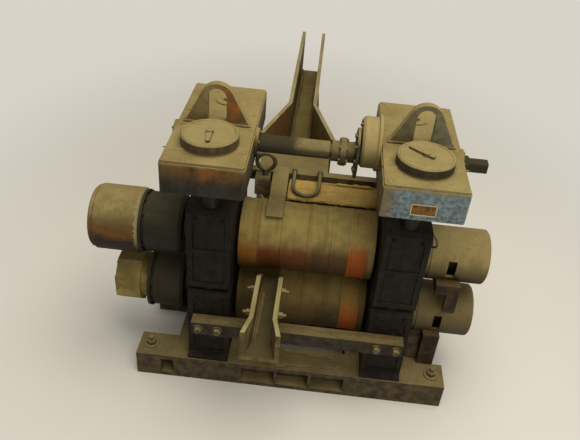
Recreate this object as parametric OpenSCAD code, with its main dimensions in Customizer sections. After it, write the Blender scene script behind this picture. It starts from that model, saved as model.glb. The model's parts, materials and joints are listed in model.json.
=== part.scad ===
// Two-high bar mill stand of the housingless kind: two rolls in chocks that are held
// together by four columns between a base frame and two screwdown caps.
// Millimetres. X runs along the rolls, toward the operator's side. Y is the way the bar
// runs. Z is up. The origin is on the floor, under the middle of the roll barrels.

/* [Rolls] */
// Diameter of the roll barrels over their collars
roll_d = 380; // [360:1:390]
// Length of the roll barrels
barrel_l = 720; // [690:5:760]
// Height of the pass line above the floor
pass_z = 650; // [640:1:670]
// Gap between the barrels at rest
roll_gap = 12; // [10:1:20]
// Depth of the shallow passes turned into the barrels
pass_depth = 2.5; // [2:0.5:8]
// Diameter of the roll necks in their bearings
neck_d = 210; // [190:1:220]
// Diameter of the shaft ends beyond the chocks
shaft_end_d = 170; // [150:1:178]
// Chamfer on the edges of the barrels and the shaft ends
roll_edge = 3; // [2:0.5:4]
// How far a roll's shaft reaches into its end cover
cover_shaft_l = 240; // [220:5:280]
// How far a roll's shaft reaches into its coupling hub
hub_shaft_l = 160; // [130:5:170]
// Radius of the fillet where a neck meets its barrel
neck_fillet = 10; // [4:1:11]
// Gap between a roll neck and its bearing, on the radius
bearing_gap = 0.3; // [0.2:0.05:0.5]

/* [Chocks] */
// Gap between a barrel's end and its chock
chock_clear = 17; // [17:1:22]
// Width of a chock along the roll
chock_w = 226; // [200:1:240]
// Length of a chock along the bar's way
chock_l = 620; // [600:5:640]
// Height of an upper chock
upper_chock_h = 508; // [480:1:520]
// Height of the seam between the upper and lower chocks at rest
seam_h = 18; // [14:1:24]
// Chamfer on the corners of the chocks
chock_chamfer = 22; // [10:1:30]
// Depth of the cast pockets in the chocks' front and back faces
pocket_depth = 14; // [8:1:18]
// Width of the rims around those pockets
pocket_rim = 30; // [24:1:36]
// How far the seal rings stand out of the chocks toward the barrels
seal_out = 6; // [4:1:6]
// Width of the seal rings around the necks
seal_w = 44; // [36:1:50]
// How far the seal covers stand out on the drive side
seal_cover_out = 30; // [20:1:36]
// Thickness of the foot flanges of the lower chocks
foot_t = 30; // [24:1:36]
// How far those foot flanges stand out of the chocks
foot_toe = 32; // [26:1:36]

/* [Columns] */
// Diameter of the four columns
column_d = 80; // [70:1:84]
// Distance from a chock's end to the middle of a column
column_inset = 70; // [66:1:74]
// Gap between a column and the chock that slides on it, on the radius
column_gap = 0.5; // [0.3:0.1:1]
// How far the columns reach into the base and into the caps
column_seat_depth = 90; // [60:1:110]
// Distance over the corners of the nuts under the caps
nut_d = 128; // [116:1:134]
// Height of those nuts
nut_h = 46; // [36:1:56]

/* [Caps] */
// How far the caps sit outward of the chocks
cap_shift = 10; // [5:1:14]
// Width of a cap along the roll
cap_w = 392; // [370:1:400]
// Length of a cap along the bar's way
cap_l = 850; // [800:5:880]
// Height of a cap
cap_h = 167; // [160:1:180]
// Height of the caps' top above the floor
cap_top = 1500; // [1490:1:1520]
// Radius of the caps' upright edges
cap_edge_r = 14; // [6:1:20]
// Thickness of the cover plate on a cap
cap_plate_t = 12; // [8:1:16]
// How far the cover plate lies inside the cap's outline
cap_plate_inset = 6; // [4:1:10]
// Diameter of the plugs over the back columns
plug_d = 120; // [100:1:130]
// Height of those plugs
plug_h = 6; // [4:1:10]

/* [Lifting lugs] */
// Width of a lug plate at its foot
lug_w = 340; // [320:1:350]
// Height of a lug plate
lug_h = 209; // [190:1:230]
// Thickness of a lug plate
lug_t = 40; // [30:1:50]
// Height and reach of the flare at a lug plate's foot
lug_flare = 22; // [16:1:28]
// Radius of the round top of a lug plate
lug_top_r = 84; // [78:1:90]
// Width of the hole in a lug plate
lug_hole_w = 92; // [70:1:98]
// Height of the web below that hole
lug_web = 18; // [14:1:24]
// How far the hole's round top sits above the middle of the plate's round top
lug_hole_rise = 14; // [8:1:18]
// Place of the lug plate behind the middle of the cap
lug_y = -10; // [-14:1:0]

/* [Screw covers] */
// Diameter of the round covers over the front columns
dial_d = 274; // [250:1:280]
// Height of those covers
dial_h = 56; // [45:1:62]
// How far the covers sit inward of the columns
dial_shift = 22; // [18:1:26]
// Width of the rim around the sunk top of a cover
dial_rim = 14; // [10:1:18]
// How deep the top of a cover is sunk
dial_sink = 4; // [2:0.5:6]
// Chamfer on the rim of a cover
dial_edge = 7; // [4:1:10]
// Length of the hand on a cover
hand_l = 88; // [70:1:100]
// Width of the hand at its hub
hand_w = 26; // [20:1:32]
// Length of the hand's tail behind the hub
hand_tail_l = 42; // [24:1:56]
// Width of the hand at its round end
hand_tip_w = 19; // [14:1:20]
// Diameter of the hand's hub
hand_hub_d = 34; // [32:1:40]
// Thickness of the hand
hand_t = 12; // [8:1:14]
// How far the hub stands above the hand
hand_hub_rise = 4; // [2:1:6]
// Which way the left hand points, from +X
hand_left_angle = -86; // [-180:1:180]
// Which way the right hand points, from +X
hand_right_angle = 141; // [-180:1:180]

/* [Cross shaft] */
// Diameter of the screwdown cross shaft in the caps
cross_d = 90; // [80:1:94]
// Diameter of the cross shaft where it carries the coupling
cross_slim_d = 66; // [60:1:70]
// Height of the cross shaft below the caps' top
cross_drop = 83; // [78:1:90]
// Place of the cross shaft in front of the roll axis
cross_front = 22; // [16:1:28]
// Gap between the cross shaft and what it turns in or carries, on the radius
cross_gap = 0.3; // [0.2:0.05:0.5]
// How far the bore of the cross shaft stops short of the left cap's outer face
cross_stop = 24; // [20:1:30]
// Gap between the end of the cross shaft and the end of that bore
cross_end_gap = 4; // [2:1:8]
// Chamfer on the steps of the cross shaft
cross_edge = 4; // [2:1:6]
// Where the thick part of the cross shaft ends, from the middle of the stand
cross_step_x = 62; // [50:1:66]
// Diameter of the bearing rings on the caps around the cross shaft
ring_d = 148; // [140:1:154]
// How far those rings stand out
ring_out = 14; // [10:1:18]
// Length of the collar outside the right cap
collar_l = 46; // [36:1:56]
// Width over the flats of the squared end
square_w = 56; // [50:1:60]
// Diameter over the rounded corners of the squared end
square_corner_d = 70; // [66:1:74]
// Length of the squared end
square_l = 96; // [80:1:110]
// Where the coupling on the cross shaft starts
muff_x = 72; // [68:1:76]
// Length of that coupling
muff_l = 112; // [100:1:114]
// Diameter of that coupling's two sleeves
muff_d = 104; // [98:1:110]
// Diameter of that coupling's flanges
muff_flange_d = 140; // [128:1:150]
// Thickness of each of those flanges
muff_flange_t = 14; // [10:1:18]
// Number of holes in the clutch flange
clutch_hole_count = 8; // [6:1:10]
// Diameter of those holes
clutch_hole_d = 18; // [14:1:20]
// Diameter of the circle that those holes lie on
clutch_hole_ring_d = 180; // [170:1:196]
// Diameter of the clutch flange
clutch_d = 250; // [240:1:260]
// Thickness of the clutch flange
clutch_t = 12; // [10:1:14]
// Where the clutch flange starts
clutch_x = 190; // [188:1:192]
// Gap between the clutch flange and its housing
clutch_clear = 10; // [8:1:14]
// Diameter of the clutch housing
drum_d = 256; // [246:1:264]
// Chamfer on the clutch housing, and how far its foot flange stands out
drum_edge = 12; // [8:1:14]
// Thickness of that foot flange
drum_foot_t = 14; // [10:1:18]
// How far the housing sits above and behind the cross shaft
drum_shift = 44; // [38:1:46]

/* [Couplings] */
// Gap between the drive side chocks and the coupling hubs
hub_standoff = 66; // [50:1:80]
// Diameter of the coupling hubs
hub_d = 350; // [336:1:360]
// Length of the upper coupling hub
upper_hub_l = 230; // [210:1:240]
// Length of the lower coupling hub
lower_hub_l = 200; // [180:1:210]
// Width of the flange on a hub toward its sleeve, and of the groove beside it
hub_lip = 16; // [12:1:20]
// Chamfer on the rims of hubs and sleeves
rim_chamfer = 9; // [4:1:14]
// Diameter of the upper coupling sleeve
sleeve_d = 362; // [340:1:366]
// Length of the upper coupling sleeve
sleeve_l = 270; // [250:1:290]
// Width of the band at the outer end of that sleeve
sleeve_lip = 30; // [20:1:40]
// Distance over the corners of the eight-sided lower sleeve
lower_sleeve_d = 312; // [290:1:330]
// Length of the lower coupling sleeve
lower_sleeve_l = 186; // [170:1:200]
// Diameter of the round neck of the lower sleeve
lower_neck_d = 262; // [240:1:276]
// Length of the round neck of the lower sleeve
lower_neck_l = 46; // [36:1:56]
// Radius of the bores that take the spindle ends
spindle_r = 90; // [80:1:96]
// Depth of the spindle bores
spindle_depth = 150; // [120:1:160]

/* [End covers] */
// Diameter of the covers over the operator's roll ends
cover_d = 300; // [280:1:310]
// Length of the covers
cover_l = 364; // [350:1:380]
// Wall of the covers
cover_wall = 18; // [12:1:24]
// Diameter of the covers' flanges on the chocks
cover_flange_d = 350; // [340:1:360]
// Thickness of those flanges
cover_flange_t = 22; // [16:1:28]
// Length of the slimmer neck next to the flange
cover_neck_l = 34; // [26:1:40]
// How deep the end face of a cover is dished
cover_dish = 6; // [4:1:9]
// Gap between a roll's shaft and the inner end of the keeper slot
slot_stop = 10; // [6:1:14]
// Width of the keeper slot in a cover
slot_w = 46; // [36:1:56]
// Height of the keeper slot in a cover
slot_h = 104; // [90:1:110]
// Distance from the chock to the middle of the keeper slot
slot_x = 172; // [160:1:180]
// Width of the keeper at a slot
keeper_w = 130; // [110:1:140]
// How far a keeper stands out in front of its cover
keeper_out = 34; // [26:1:40]
// Width of the upper keeper's upright
keeper_plate_w = 65; // [55:1:75]
// Thickness of that upright
keeper_plate_t = 27; // [22:1:32]
// Gap between the lower keeper's top and the slot above it
keeper_gap = 12; // [6:1:20]
// Drop of the upper keeper's upright below its cover
keeper_drop = 120; // [100:1:130]
// Drop from the roll's axis to the underside of the upper keeper
keeper_under = 142; // [138:1:146]
// Distance from the roll's axis to the inner foot of the upper keeper
keeper_foot_y = 60; // [56:1:70]
// Distance from the roll's axis to the inner end of the keepers' tops
keeper_top_y = 112; // [106:1:118]

/* [Base] */
// Height of the base frame
base_h = 160; // [150:1:170]
// How far the base frame reaches beyond the drive side chock
base_reach_drive = 297; // [280:1:320]
// How far the base frame reaches beyond the operator's chock
base_reach_operator = 257; // [240:1:280]
// How far the base frame stands out in front of and behind the chocks
base_margin = 40; // [30:1:50]
// Width of each sill of the base frame
sill_w = 170; // [160:1:180]
// Thickness of the sills' flanges
sill_flange_t = 28; // [20:1:34]
// Thickness of the sills' webs and ribs
sill_web_t = 30; // [24:1:36]
// Number of ribs along each sill between the chock seats
rib_count = 2; // [1:1:4]
// Width of the chock seats that join the sills
seat_w = 392; // [380:1:410]
// Distance of the anchor holes from the frame's ends
anchor_inset = 70; // [60:1:76]
// Diameter of the anchor holes
anchor_d = 33; // [26:1:36]
// Gap between the lower chock and the block under the end cover
pedestal_gap = 40; // [30:1:50]
// Width of the block under the end cover
pedestal_w = 160; // [140:1:170]
// Drop from the lower roll's axis to the top of that block
pedestal_drop = 84; // [70:1:100]
// Slope of the block's sides, from its foot to its top
pedestal_slope = 34; // [20:1:50]

/* [Guides] */
// Drop from the pass line to the top of the rest bars
rest_bar_drop = 168; // [156:1:176]
// Height of the rest bars
rest_bar_h = 84; // [70:1:90]
// Thickness of the rest bars along the bar's way
rest_bar_t = 70; // [60:1:80]
// How far the guides' seats on those bars slope out toward their feet
seat_slope = 21; // [14:1:28]
// Drop from the pass line to the underside of the guides
guide_drop = 32; // [30:1:36]
// Thickness of the guides' floors
guide_floor_t = 20; // [16:1:22]
// Place of the working pass along the roll
guide_x = -170; // [-180:1:-160]
// Width of the entry guide inside
entry_w = 92; // [84:1:100]
// Thickness of the entry guide's side plates
guide_t = 22; // [18:1:26]
// Height of the entry guide above the pass line
entry_h = 150; // [130:1:160]
// Distance from the roll axis to the tip of the entry guide
entry_tip = 120; // [110:1:130]
// Distance from the roll axis to the heel under the entry guide's nose
entry_heel = 215; // [205:1:225]
// Distance from the roll axis to where the entry guide is full height
entry_shoulder = 310; // [300:1:330]
// Distance from the roll axis to where the entry guide starts to spread
entry_kink = 610; // [590:1:630]
// Distance from the roll axis to the entry guide's mouth
entry_mouth = 720; // [700:1:740]
// How much the entry guide spreads on each side at its mouth
entry_spread = 28; // [20:1:34]
// Thickness of the trough's plates
trough_t = 12; // [10:1:14]
// Place of the exit guides along the roll
exit_x = -130; // [-140:1:-120]
// Distance from the roll axis to the nose of the exit guide
exit_nose = 215; // [205:1:225]
// Width of the exit guide at its nose
exit_nose_w = 240; // [220:5:260]
// Distance from the roll axis to where the exit guide is covered
exit_hood = 540; // [520:5:560]
// Width of the covered exit guide
exit_hood_w = 430; // [400:5:440]
// Wall of the exit guide
exit_wall = 16; // [12:1:20]
// Height of the low sides of the exit guide above the pass line
exit_low_h = 110; // [90:1:130]
// Height of the exit guide's cover above the pass line
exit_hood_h = 250; // [230:1:270]
// Distance from the roll axis to the mouth of the exit trough
exit_mouth = 860; // [840:5:880]
// Distance from the roll axis to where that mouth has drawn in
exit_neck = 1345; // [1320:5:1370]
// Distance from the roll axis to the far end of the exit trough
exit_end = 2800; // [2600:10:2900]
// Width of the mouth of the exit trough
exit_mouth_w = 460; // [450:5:480]
// Width of the channel of the exit trough
exit_w = 170; // [160:1:190]
// Height of the exit trough's edges above the pass line
exit_h = 350; // [330:1:370]
// Width of the lips on the exit trough's edges
lip_w = 15; // [10:1:22]
// Thickness of the trestles' legs
leg_w = 60; // [50:1:70]
// Width of the plates under those legs
foot_plate_w = 132; // [110:1:150]
// Thickness of those plates
foot_plate_t = 16; // [12:1:22]
// Height of the trestles' head beams and braces
trestle_beam_h = 48; // [40:1:60]
// Height of those braces above the floor
trestle_brace_z = 200; // [160:5:260]
// Distance from the ends of the exit trough to its trestles
trestle_inset = 180; // [150:5:220]

/* [Roll cooling] */
// Drop from the upper chocks' top to the top of the bar behind the upper roll
bar_drop = 83; // [78:1:96]
// Height of that bar
bar_h = 62; // [50:1:70]
// Thickness of that bar along the bar's way
bar_t = 50; // [40:1:60]
// How far that bar stands out behind the chocks
bar_out = 2; // [0:1:6]
// Thickness of the flanges at that bar's ends
bar_flange_t = 14; // [10:1:16]
// How far those flanges stand above and below the bar
bar_flange_rise = 20; // [12:1:26]
// Place of the ribbed clamp along the bar
clamp_x = -283; // [-286:1:-281]
// Width of the clamp
clamp_w = 84; // [76:1:88]
// Height of the clamp
clamp_h = 116; // [104:1:120]
// How far the clamp stands out in front of the bar
clamp_depth = 56; // [50:1:60]
// How far the clamp's top sits below the bar's top
clamp_drop = 9; // [4:1:14]
// Width of the grooves between the clamp's ribs
clamp_groove = 7; // [5:1:9]
// Number of those grooves
clamp_groove_count = 3; // [2:1:4]
// Place of the eye along the bar
eye_x = -270; // [-276:1:-262]
// Radius of the eye on the clamp
eye_r = 62; // [54:1:66]
// Thickness of the eye's ring
eye_t = 24; // [18:1:28]
// Diameter of the neck under the eye
eye_neck_d = 34; // [28:1:40]
// Height of that neck
eye_neck_h = 44; // [34:1:46]
// Place of the tab over the working pass
tab_x = -184; // [-188:1:-182]
// Width of the tab
tab_w = 88; // [80:1:90]
// Gap between the tab's shoe and the barrel
tab_clear = 13; // [10:1:16]
// Thickness of the tab
tab_t = 10; // [8:1:12]
// How far the tab runs level in front of the bar before it slopes down
tab_level = 12; // [8:1:16]
// How much nearer the bar the tab's upper face bends
tab_bend = 4; // [2:1:6]
// Where the tab's shoe starts and ends round the roll, from behind it
shoe_from = 62; // [58:1:66]
shoe_to = 118; // [108:1:122]
// Where the dusty guard over the roll starts along the roll
guard_x0 = -134; // [-136:1:-128]
// Drop from the bar's top to the top of the guard
guard_drop = 36; // [30:1:38]
// Thickness of that guard
guard_t = 8; // [6:1:10]
// Distance from the roll axis to the guard's lip
guard_lip_y = 96; // [90:1:110]
// Drop of the guard's lip
guard_lip_h = 16; // [12:1:18]
// Distance from the roll axis to the guard's skirt behind the roll
guard_skirt_y = 174; // [168:1:180]
// Drop of the guard's skirt
guard_skirt_h = 102; // [84:1:104]
// Radius of the loop of the spray pipe
pipe_loop_r = 71; // [64:1:76]
// Length of the straight legs of that loop
pipe_leg_l = 105; // [90:1:112]
// Slope of the spray pipe, down toward the roll
pipe_tilt = 14; // [10:1:16]
// Diameter of the spray pipe
pipe_d = 20; // [16:1:22]
// Diameter of the bosses that hold the spray pipe
pipe_boss_d = 30; // [26:1:34]
// Place of the spray pipe along the bar
pipe_x = -37; // [-42:1:-30]

/* [Hidden] */
$fn = 96;
// A small overlap that makes cuts run past the face they open
eps = 1;
// The gap left between two round faces that fit each other
seat_gap = 0.3;
left = -1;
right = 1;
front = -1;
back = 1;

roll_r = roll_d / 2;
neck_r = neck_d / 2;
shaft_r = shaft_end_d / 2;
lower_z = pass_z - roll_gap / 2 - roll_r;
upper_z = pass_z + roll_gap / 2 + roll_r;
chock_in = barrel_l / 2 + chock_clear;
chock_x = chock_in + chock_w / 2;
chock_out = chock_in + chock_w;
lower_chock_top = pass_z - seam_h / 2;
upper_chock_bottom = pass_z + seam_h / 2;
upper_chock_top = upper_chock_bottom + upper_chock_h;
seal_r = neck_r + seal_w;
column_r = column_d / 2;
column_y = chock_l / 2 - column_inset;
cap_x = chock_x + cap_shift;
cap_bottom = cap_top - cap_h;
cap_in = cap_x - cap_w / 2;
cap_out = cap_x + cap_w / 2;
cross_z = cap_top - cross_drop;
cross_y = -cross_front;
collar_out = cap_out + collar_l;
hub_in = chock_out + hub_standoff;
upper_hub_out = hub_in + upper_hub_l;
lower_hub_out = hub_in + lower_hub_l;
cover_out = chock_out + cover_l;
cover_r = cover_d / 2;
base_left = -chock_out - base_reach_drive;
base_right = chock_out + base_reach_operator;
base_d = chock_l + 2 * base_margin;
sill_y = (base_d - sill_w) / 2;
pedestal_out = chock_out + pedestal_gap + pedestal_w;
rest_bar_z = pass_z - rest_bar_drop;
guide_z = pass_z - guide_drop;
guide_floor_z = guide_z + guide_floor_t;
bar_top = upper_chock_top - bar_drop;
bar_y = chock_l / 2 + bar_out - bar_t;
// Middle and width of each shallow pass along the barrel, and how far its flanks slope
PASSES = [[-292, 76], [-190, 108], [-58, 124], [80, 96], [181, 78], [272, 78]];
flank = 4;

// Points along an arc about [x, y]
function arc(x, y, r, from, to, steps = 16) =
    [for (i = [0:steps]) let(a = from + (to - from) * i / steps) [x + r * cos(a), y + r * sin(a)]];

// The same points in the other order
function backward(points) = [for (i = [len(points) - 1:-1:0]) points[i]];

// The same points on the other side of the outline's middle
function mirrored(points) = [for (p = backward(points)) [-p[0], p[1]]];

// A cylinder along X from x0 to x1
module along_x(r, x0, x1, y = 0, z = 0) {
    translate([x0, y, z]) rotate([0, 90, 0]) cylinder(r = r, h = x1 - x0);
}

// A solid turned about X, from an outline of [distance along X, radius]
module turned_x(outline, y = 0, z = 0) {
    translate([0, y, z]) rotate([0, 90, 0])
        rotate_extrude() polygon([for (p = outline) [p[1], p[0]]]);
}

// A block between two corners
module block(from, to) {
    translate(from) cube(to - from);
}

// An outline of [Y, Z] points drawn out along X
module profile_x(points, x0, x1) {
    translate([x0, 0, 0]) rotate([90, 0, 90]) linear_extrude(height = x1 - x0) polygon(points);
}

// An outline of [X, Z] points drawn out along Y
module profile_y(points, y0, y1) {
    translate([0, y1, 0]) rotate([90, 0, 0]) linear_extrude(height = y1 - y0) polygon(points);
}

// A rectangle with round corners
module rounded(a, b, r) {
    union() {
        square([a - 2 * r, b], center = true);
        square([a, b - 2 * r], center = true);
        for (i = [-1, 1], j = [-1, 1])
            translate([i * (a / 2 - r), j * (b / 2 - r)]) circle(r = r);
    }
}

// The notch of one pass in the barrel's outline
function pass_outline(middle, width) = [
    [middle - width / 2, roll_r],
    [middle - width / 2 + flank, roll_r - pass_depth],
    [middle + width / 2 - flank, roll_r - pass_depth],
    [middle + width / 2, roll_r]];

// A roll: barrel with its passes, fillets, necks and shaft ends, turned about X
module roll(z) {
    half = barrel_l / 2;
    drive_end = -hub_in - hub_shaft_l;
    cover_end = chock_out + cover_shaft_l;
    edge = roll_edge;
    turned_x(concat(
        [[drive_end, 0], [drive_end, shaft_r - edge], [drive_end + edge, shaft_r],
            [-chock_out, shaft_r], [-chock_out, neck_r]],
        arc(-half - neck_fillet, neck_r + neck_fillet, neck_fillet, -90, 0, 6),
        [[-half, roll_r - edge], [-half + edge, roll_r]],
        [for (pass = PASSES) each pass_outline(pass[0], pass[1])],
        [[half - edge, roll_r], [half, roll_r - edge]],
        arc(half + neck_fillet, neck_r + neck_fillet, neck_fillet, 180, 270, 6),
        [[chock_out, neck_r], [chock_out, shaft_r], [cover_end - edge, shaft_r],
            [cover_end, shaft_r - edge], [cover_end, 0]]), 0, z);
}

module lower_roll() color("peru") roll(lower_z);
module upper_roll() color("peru") roll(upper_z);

// A chock's outline seen along the roll
function chock_outline(z0, z1) = let(h = chock_l / 2, c = chock_chamfer) [
    [-h + c, z0], [h - c, z0], [h, z0 + c], [h, z1 - c],
    [h - c, z1], [-h + c, z1], [-h, z1 - c], [-h, z0 + c]];

// A chock: block, face pockets, bearing bore, seal ring, seal cover and column holes
module chock(side, z0, z1, axis_z, hole_gap) {
    x0 = side * chock_x - chock_w / 2;
    x1 = side * chock_x + chock_w / 2;
    rib = pocket_rim;
    middle = (z0 + z1) / 2;
    ring_in = side * chock_in;
    cover_in = side * chock_out;
    difference() {
        union() {
            profile_x(chock_outline(z0, z1), x0, x1);
            along_x(seal_r, min(ring_in, ring_in - side * seal_out),
                max(ring_in, ring_in - side * seal_out), 0, axis_z);
            if (side == left)
                along_x(seal_r, cover_in - seal_cover_out, cover_in, 0, axis_z);
        }
        along_x(neck_r + bearing_gap, x0 - (side == right ? seal_out + eps : 0),
            x1 + (side == left ? seal_out + eps : eps), 0, axis_z);
        if (side == left)
            along_x(shaft_r + bearing_gap, x0 - seal_cover_out - eps, x0 + eps, 0, axis_z);
        for (way = [front, back]) {
            y0 = way * chock_l / 2;
            for (span = [[z0 + pocket_rim + chock_chamfer, middle - rib / 2],
                    [middle + rib / 2, z1 - pocket_rim - chock_chamfer]])
                block([x0 + pocket_rim, min(y0 - way * pocket_depth, y0 + way * eps), span[0]],
                    [x1 - pocket_rim, max(y0 - way * pocket_depth, y0 + way * eps), span[1]]);
            translate([side * chock_x, way * column_y, z0 - eps])
                cylinder(r = column_r + hole_gap, h = z1 - z0 + 2 * eps);
        }
    }
}

// A lower chock stands on the base with foot flanges in front and behind
module lower_chock(side) {
    toe = foot_toe;
    color("dimgray") union() {
        chock(side, base_h, lower_chock_top, lower_z, seat_gap);
        for (way = [front, back])
            profile_x([[way * (chock_l / 2 - chock_chamfer), base_h],
                [way * (chock_l / 2 + toe), base_h],
                [way * (chock_l / 2 + toe), base_h + foot_t / 2],
                [way * chock_l / 2, base_h + foot_t],
                [way * (chock_l / 2 - chock_chamfer), base_h + foot_t]],
                side * chock_x - chock_w / 2, side * chock_x + chock_w / 2);
    }
}

module upper_chock(side) {
    color("dimgray") chock(side, upper_chock_bottom, upper_chock_top, upper_z, column_gap);
}

// A column from its seat in the base up to its seat in the cap, with its nut
module column(side, way) {
    foot = base_h - column_seat_depth;
    color("gray") translate([side * chock_x, way * column_y, 0]) union() {
        translate([0, 0, foot]) cylinder(r = column_r, h = cap_bottom + column_seat_depth - foot);
        translate([0, 0, cap_bottom - nut_h]) rotate([0, 0, 22.5])
            cylinder(d = nut_d, h = nut_h, $fn = 8);
    }
}

// The outline of a sill: an I section about its own middle
function sill_outline(y) = let(w = sill_w / 2, t = sill_web_t / 2, f = sill_flange_t) [
    [y - w, 0], [y + w, 0], [y + w, f], [y + t, f], [y + t, base_h - f], [y + w, base_h - f],
    [y + w, base_h], [y - w, base_h], [y - w, base_h - f], [y - t, base_h - f], [y - t, f],
    [y - w, f]];

// The base frame: two sills with ribs, two chock seats and four anchor pads
module base_frame() {
    pad = 2 * anchor_inset;
    seat_in = chock_x - seat_w / 2;
    color("tan") difference() {
        union() {
            for (way = [front, back]) {
                profile_x(sill_outline(way * sill_y), base_left, base_right);
                for (x = [base_left, base_right - pad])
                    block([x, way * sill_y - sill_w / 2, 0], [x + pad, way * sill_y + sill_w / 2, base_h]);
                for (i = [1:rib_count])
                    translate([-seat_in + 2 * seat_in * i / (rib_count + 1), way * sill_y, base_h / 2])
                        cube([sill_web_t / 2, sill_w - 2 * eps, base_h - 2 * eps], center = true);
            }
            block([-chock_x - seat_w / 2, -base_d / 2, 0], [-seat_in, base_d / 2, base_h]);
            block([seat_in, -base_d / 2, 0], [pedestal_out, base_d / 2, base_h]);
        }
        for (side = [left, right], way = [front, back])
            translate([side * chock_x, way * column_y, base_h - column_seat_depth])
                cylinder(r = column_r + seat_gap, h = column_seat_depth + eps);
        for (x = [base_left + anchor_inset, base_right - anchor_inset], way = [front, back])
            translate([x, way * sill_y, -eps]) cylinder(d = anchor_d, h = base_h + 2 * eps);
    }
}

// The block that the lower end cover rests on
module end_pedestal() {
    top = lower_z - pedestal_drop;
    color("tan") difference() {
        profile_x([[-cover_r, base_h], [cover_r, base_h], [cover_r, base_h + foot_t],
            [cover_r - pedestal_slope, top], [-cover_r + pedestal_slope, top],
            [-cover_r, base_h + foot_t]],
            chock_out + pedestal_gap, pedestal_out);
        along_x(cover_r + seat_gap, chock_out, cover_out, 0, lower_z);
    }
}

// The screwdown gearbox over a pair of chocks, with its cover plate, rings and back plug
module cap(side) {
    inner = side * cap_in;
    outer = side * cap_out;
    hole_r = cross_d / 2 + cross_gap;
    color(side == right ? "slategray" : "sienna") difference() {
        union() {
            translate([side * cap_x, 0, cap_bottom]) {
                linear_extrude(height = cap_h - cap_plate_t) rounded(cap_w, cap_l, cap_edge_r);
                linear_extrude(height = cap_h) rounded(cap_w - 2 * cap_plate_inset,
                    cap_l - 2 * cap_plate_inset, cap_edge_r - cap_plate_inset / 2);
            }
            along_x(ring_d / 2, min(outer, outer + side * ring_out), max(outer, outer + side * ring_out),
                cross_y, cross_z);
            if (side == left) along_x(ring_d / 2, inner, inner + ring_out, cross_y, cross_z);
            translate([side * chock_x, column_y, cap_top]) cylinder(d = plug_d, h = plug_h);
        }
        for (way = [front, back])
            translate([side * chock_x, way * column_y, cap_bottom - eps])
                cylinder(r = column_r + seat_gap, h = column_seat_depth + eps);
        if (side == right)
            along_x(hole_r, cap_in - eps, cap_out + ring_out + eps, cross_y, cross_z);
        else
            along_x(hole_r, -cap_out + cross_stop, -cap_in + ring_out + eps, cross_y, cross_z);
    }
}

// The outline of a lug plate: a round top, straight flanks that touch it, and a flared foot
function lug_outline() = let(
        middle = lug_h - lug_top_r,
        knee = [lug_w / 2 - lug_flare, lug_flare],
        meet = acos(lug_top_r / norm(knee - [0, middle])) - atan((middle - lug_flare) / knee[0]),
        foot = [[lug_w / 2, 0], knee])
    concat(foot, arc(0, middle, lug_top_r, meet, 180 - meet, 24), mirrored(foot));

// The bell-shaped plate that a crane hook takes
module lifting_lug(side) {
    hole_r = lug_hole_w / 2;
    hole_top = lug_h - lug_top_r + lug_hole_rise;
    color("saddlebrown") translate([side * cap_x, lug_y + lug_t / 2, cap_top]) rotate([90, 0, 0])
        linear_extrude(height = lug_t) difference() {
            polygon(lug_outline());
            polygon(concat([[hole_r, lug_web]], arc(0, hole_top, hole_r, 0, 180, 20),
                [[-hole_r, lug_web]]));
        }
}

// The round cover over a front column, with a sunk top
module dial(side) {
    r = dial_d / 2;
    sink = dial_sink;
    edge = dial_edge;
    color("khaki") translate([side * cap_x, -column_y + dial_shift, cap_top])
        rotate_extrude() polygon([[0, 0], [r, 0], [r, dial_h - edge], [r - edge, dial_h],
            [r - dial_rim, dial_h], [r - dial_rim - sink, dial_h - sink], [0, dial_h - sink]]);
}

// The hand on a round cover: a hub, a tapered arm with a tail, and its round end
module pointer(side, angle) {
    tip_r = hand_tip_w / 2;
    color("khaki") translate([side * cap_x, -column_y + dial_shift, cap_top + dial_h - dial_sink])
        rotate([0, 0, angle]) union() {
            cylinder(d = hand_hub_d, h = hand_t + hand_hub_rise);
            linear_extrude(height = hand_t) polygon([[-hand_tail_l, -tip_r], [0, -hand_w / 2],
                [hand_l, -tip_r], [hand_l, tip_r], [0, hand_w / 2], [-hand_tail_l, tip_r]]);
            translate([hand_l, 0, 0]) cylinder(r = tip_r, h = hand_t);
        }
}

// The worm shaft that turns the screws of both caps, with its squared end
module cross_shaft() {
    r = cross_d / 2;
    slim = cross_slim_d / 2;
    start = -cap_out + cross_stop + cross_end_gap;
    edge = cross_edge;
    color("tan") union() {
        turned_x([[start, 0], [start, r], [cross_step_x - edge, r], [cross_step_x, r - edge],
            [cross_step_x, slim], [cap_in, slim], [cap_in, r], [collar_out - edge, r],
            [collar_out, r - edge], [collar_out, 0]], cross_y, cross_z);
        intersection() {
            translate([collar_out, cross_y - square_w / 2, cross_z - square_w / 2])
                cube([square_l, square_w, square_w]);
            along_x(square_corner_d / 2, collar_out, collar_out + square_l, cross_y, cross_z);
        }
    }
}

// The two flanged sleeves that join the cross shaft
module shaft_sleeve() {
    bore = cross_slim_d / 2 + cross_gap;
    end = muff_x + muff_l;
    middle = muff_x + muff_l / 2;
    flange_t = muff_flange_t;
    color("olive") turned_x([[muff_x, bore], [muff_x, muff_d / 2], [middle - flange_t, muff_d / 2],
        [middle - flange_t, muff_flange_d / 2], [middle + flange_t, muff_flange_d / 2],
        [middle + flange_t, muff_d / 2], [end, muff_d / 2], [end, bore]], cross_y, cross_z);
}

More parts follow.
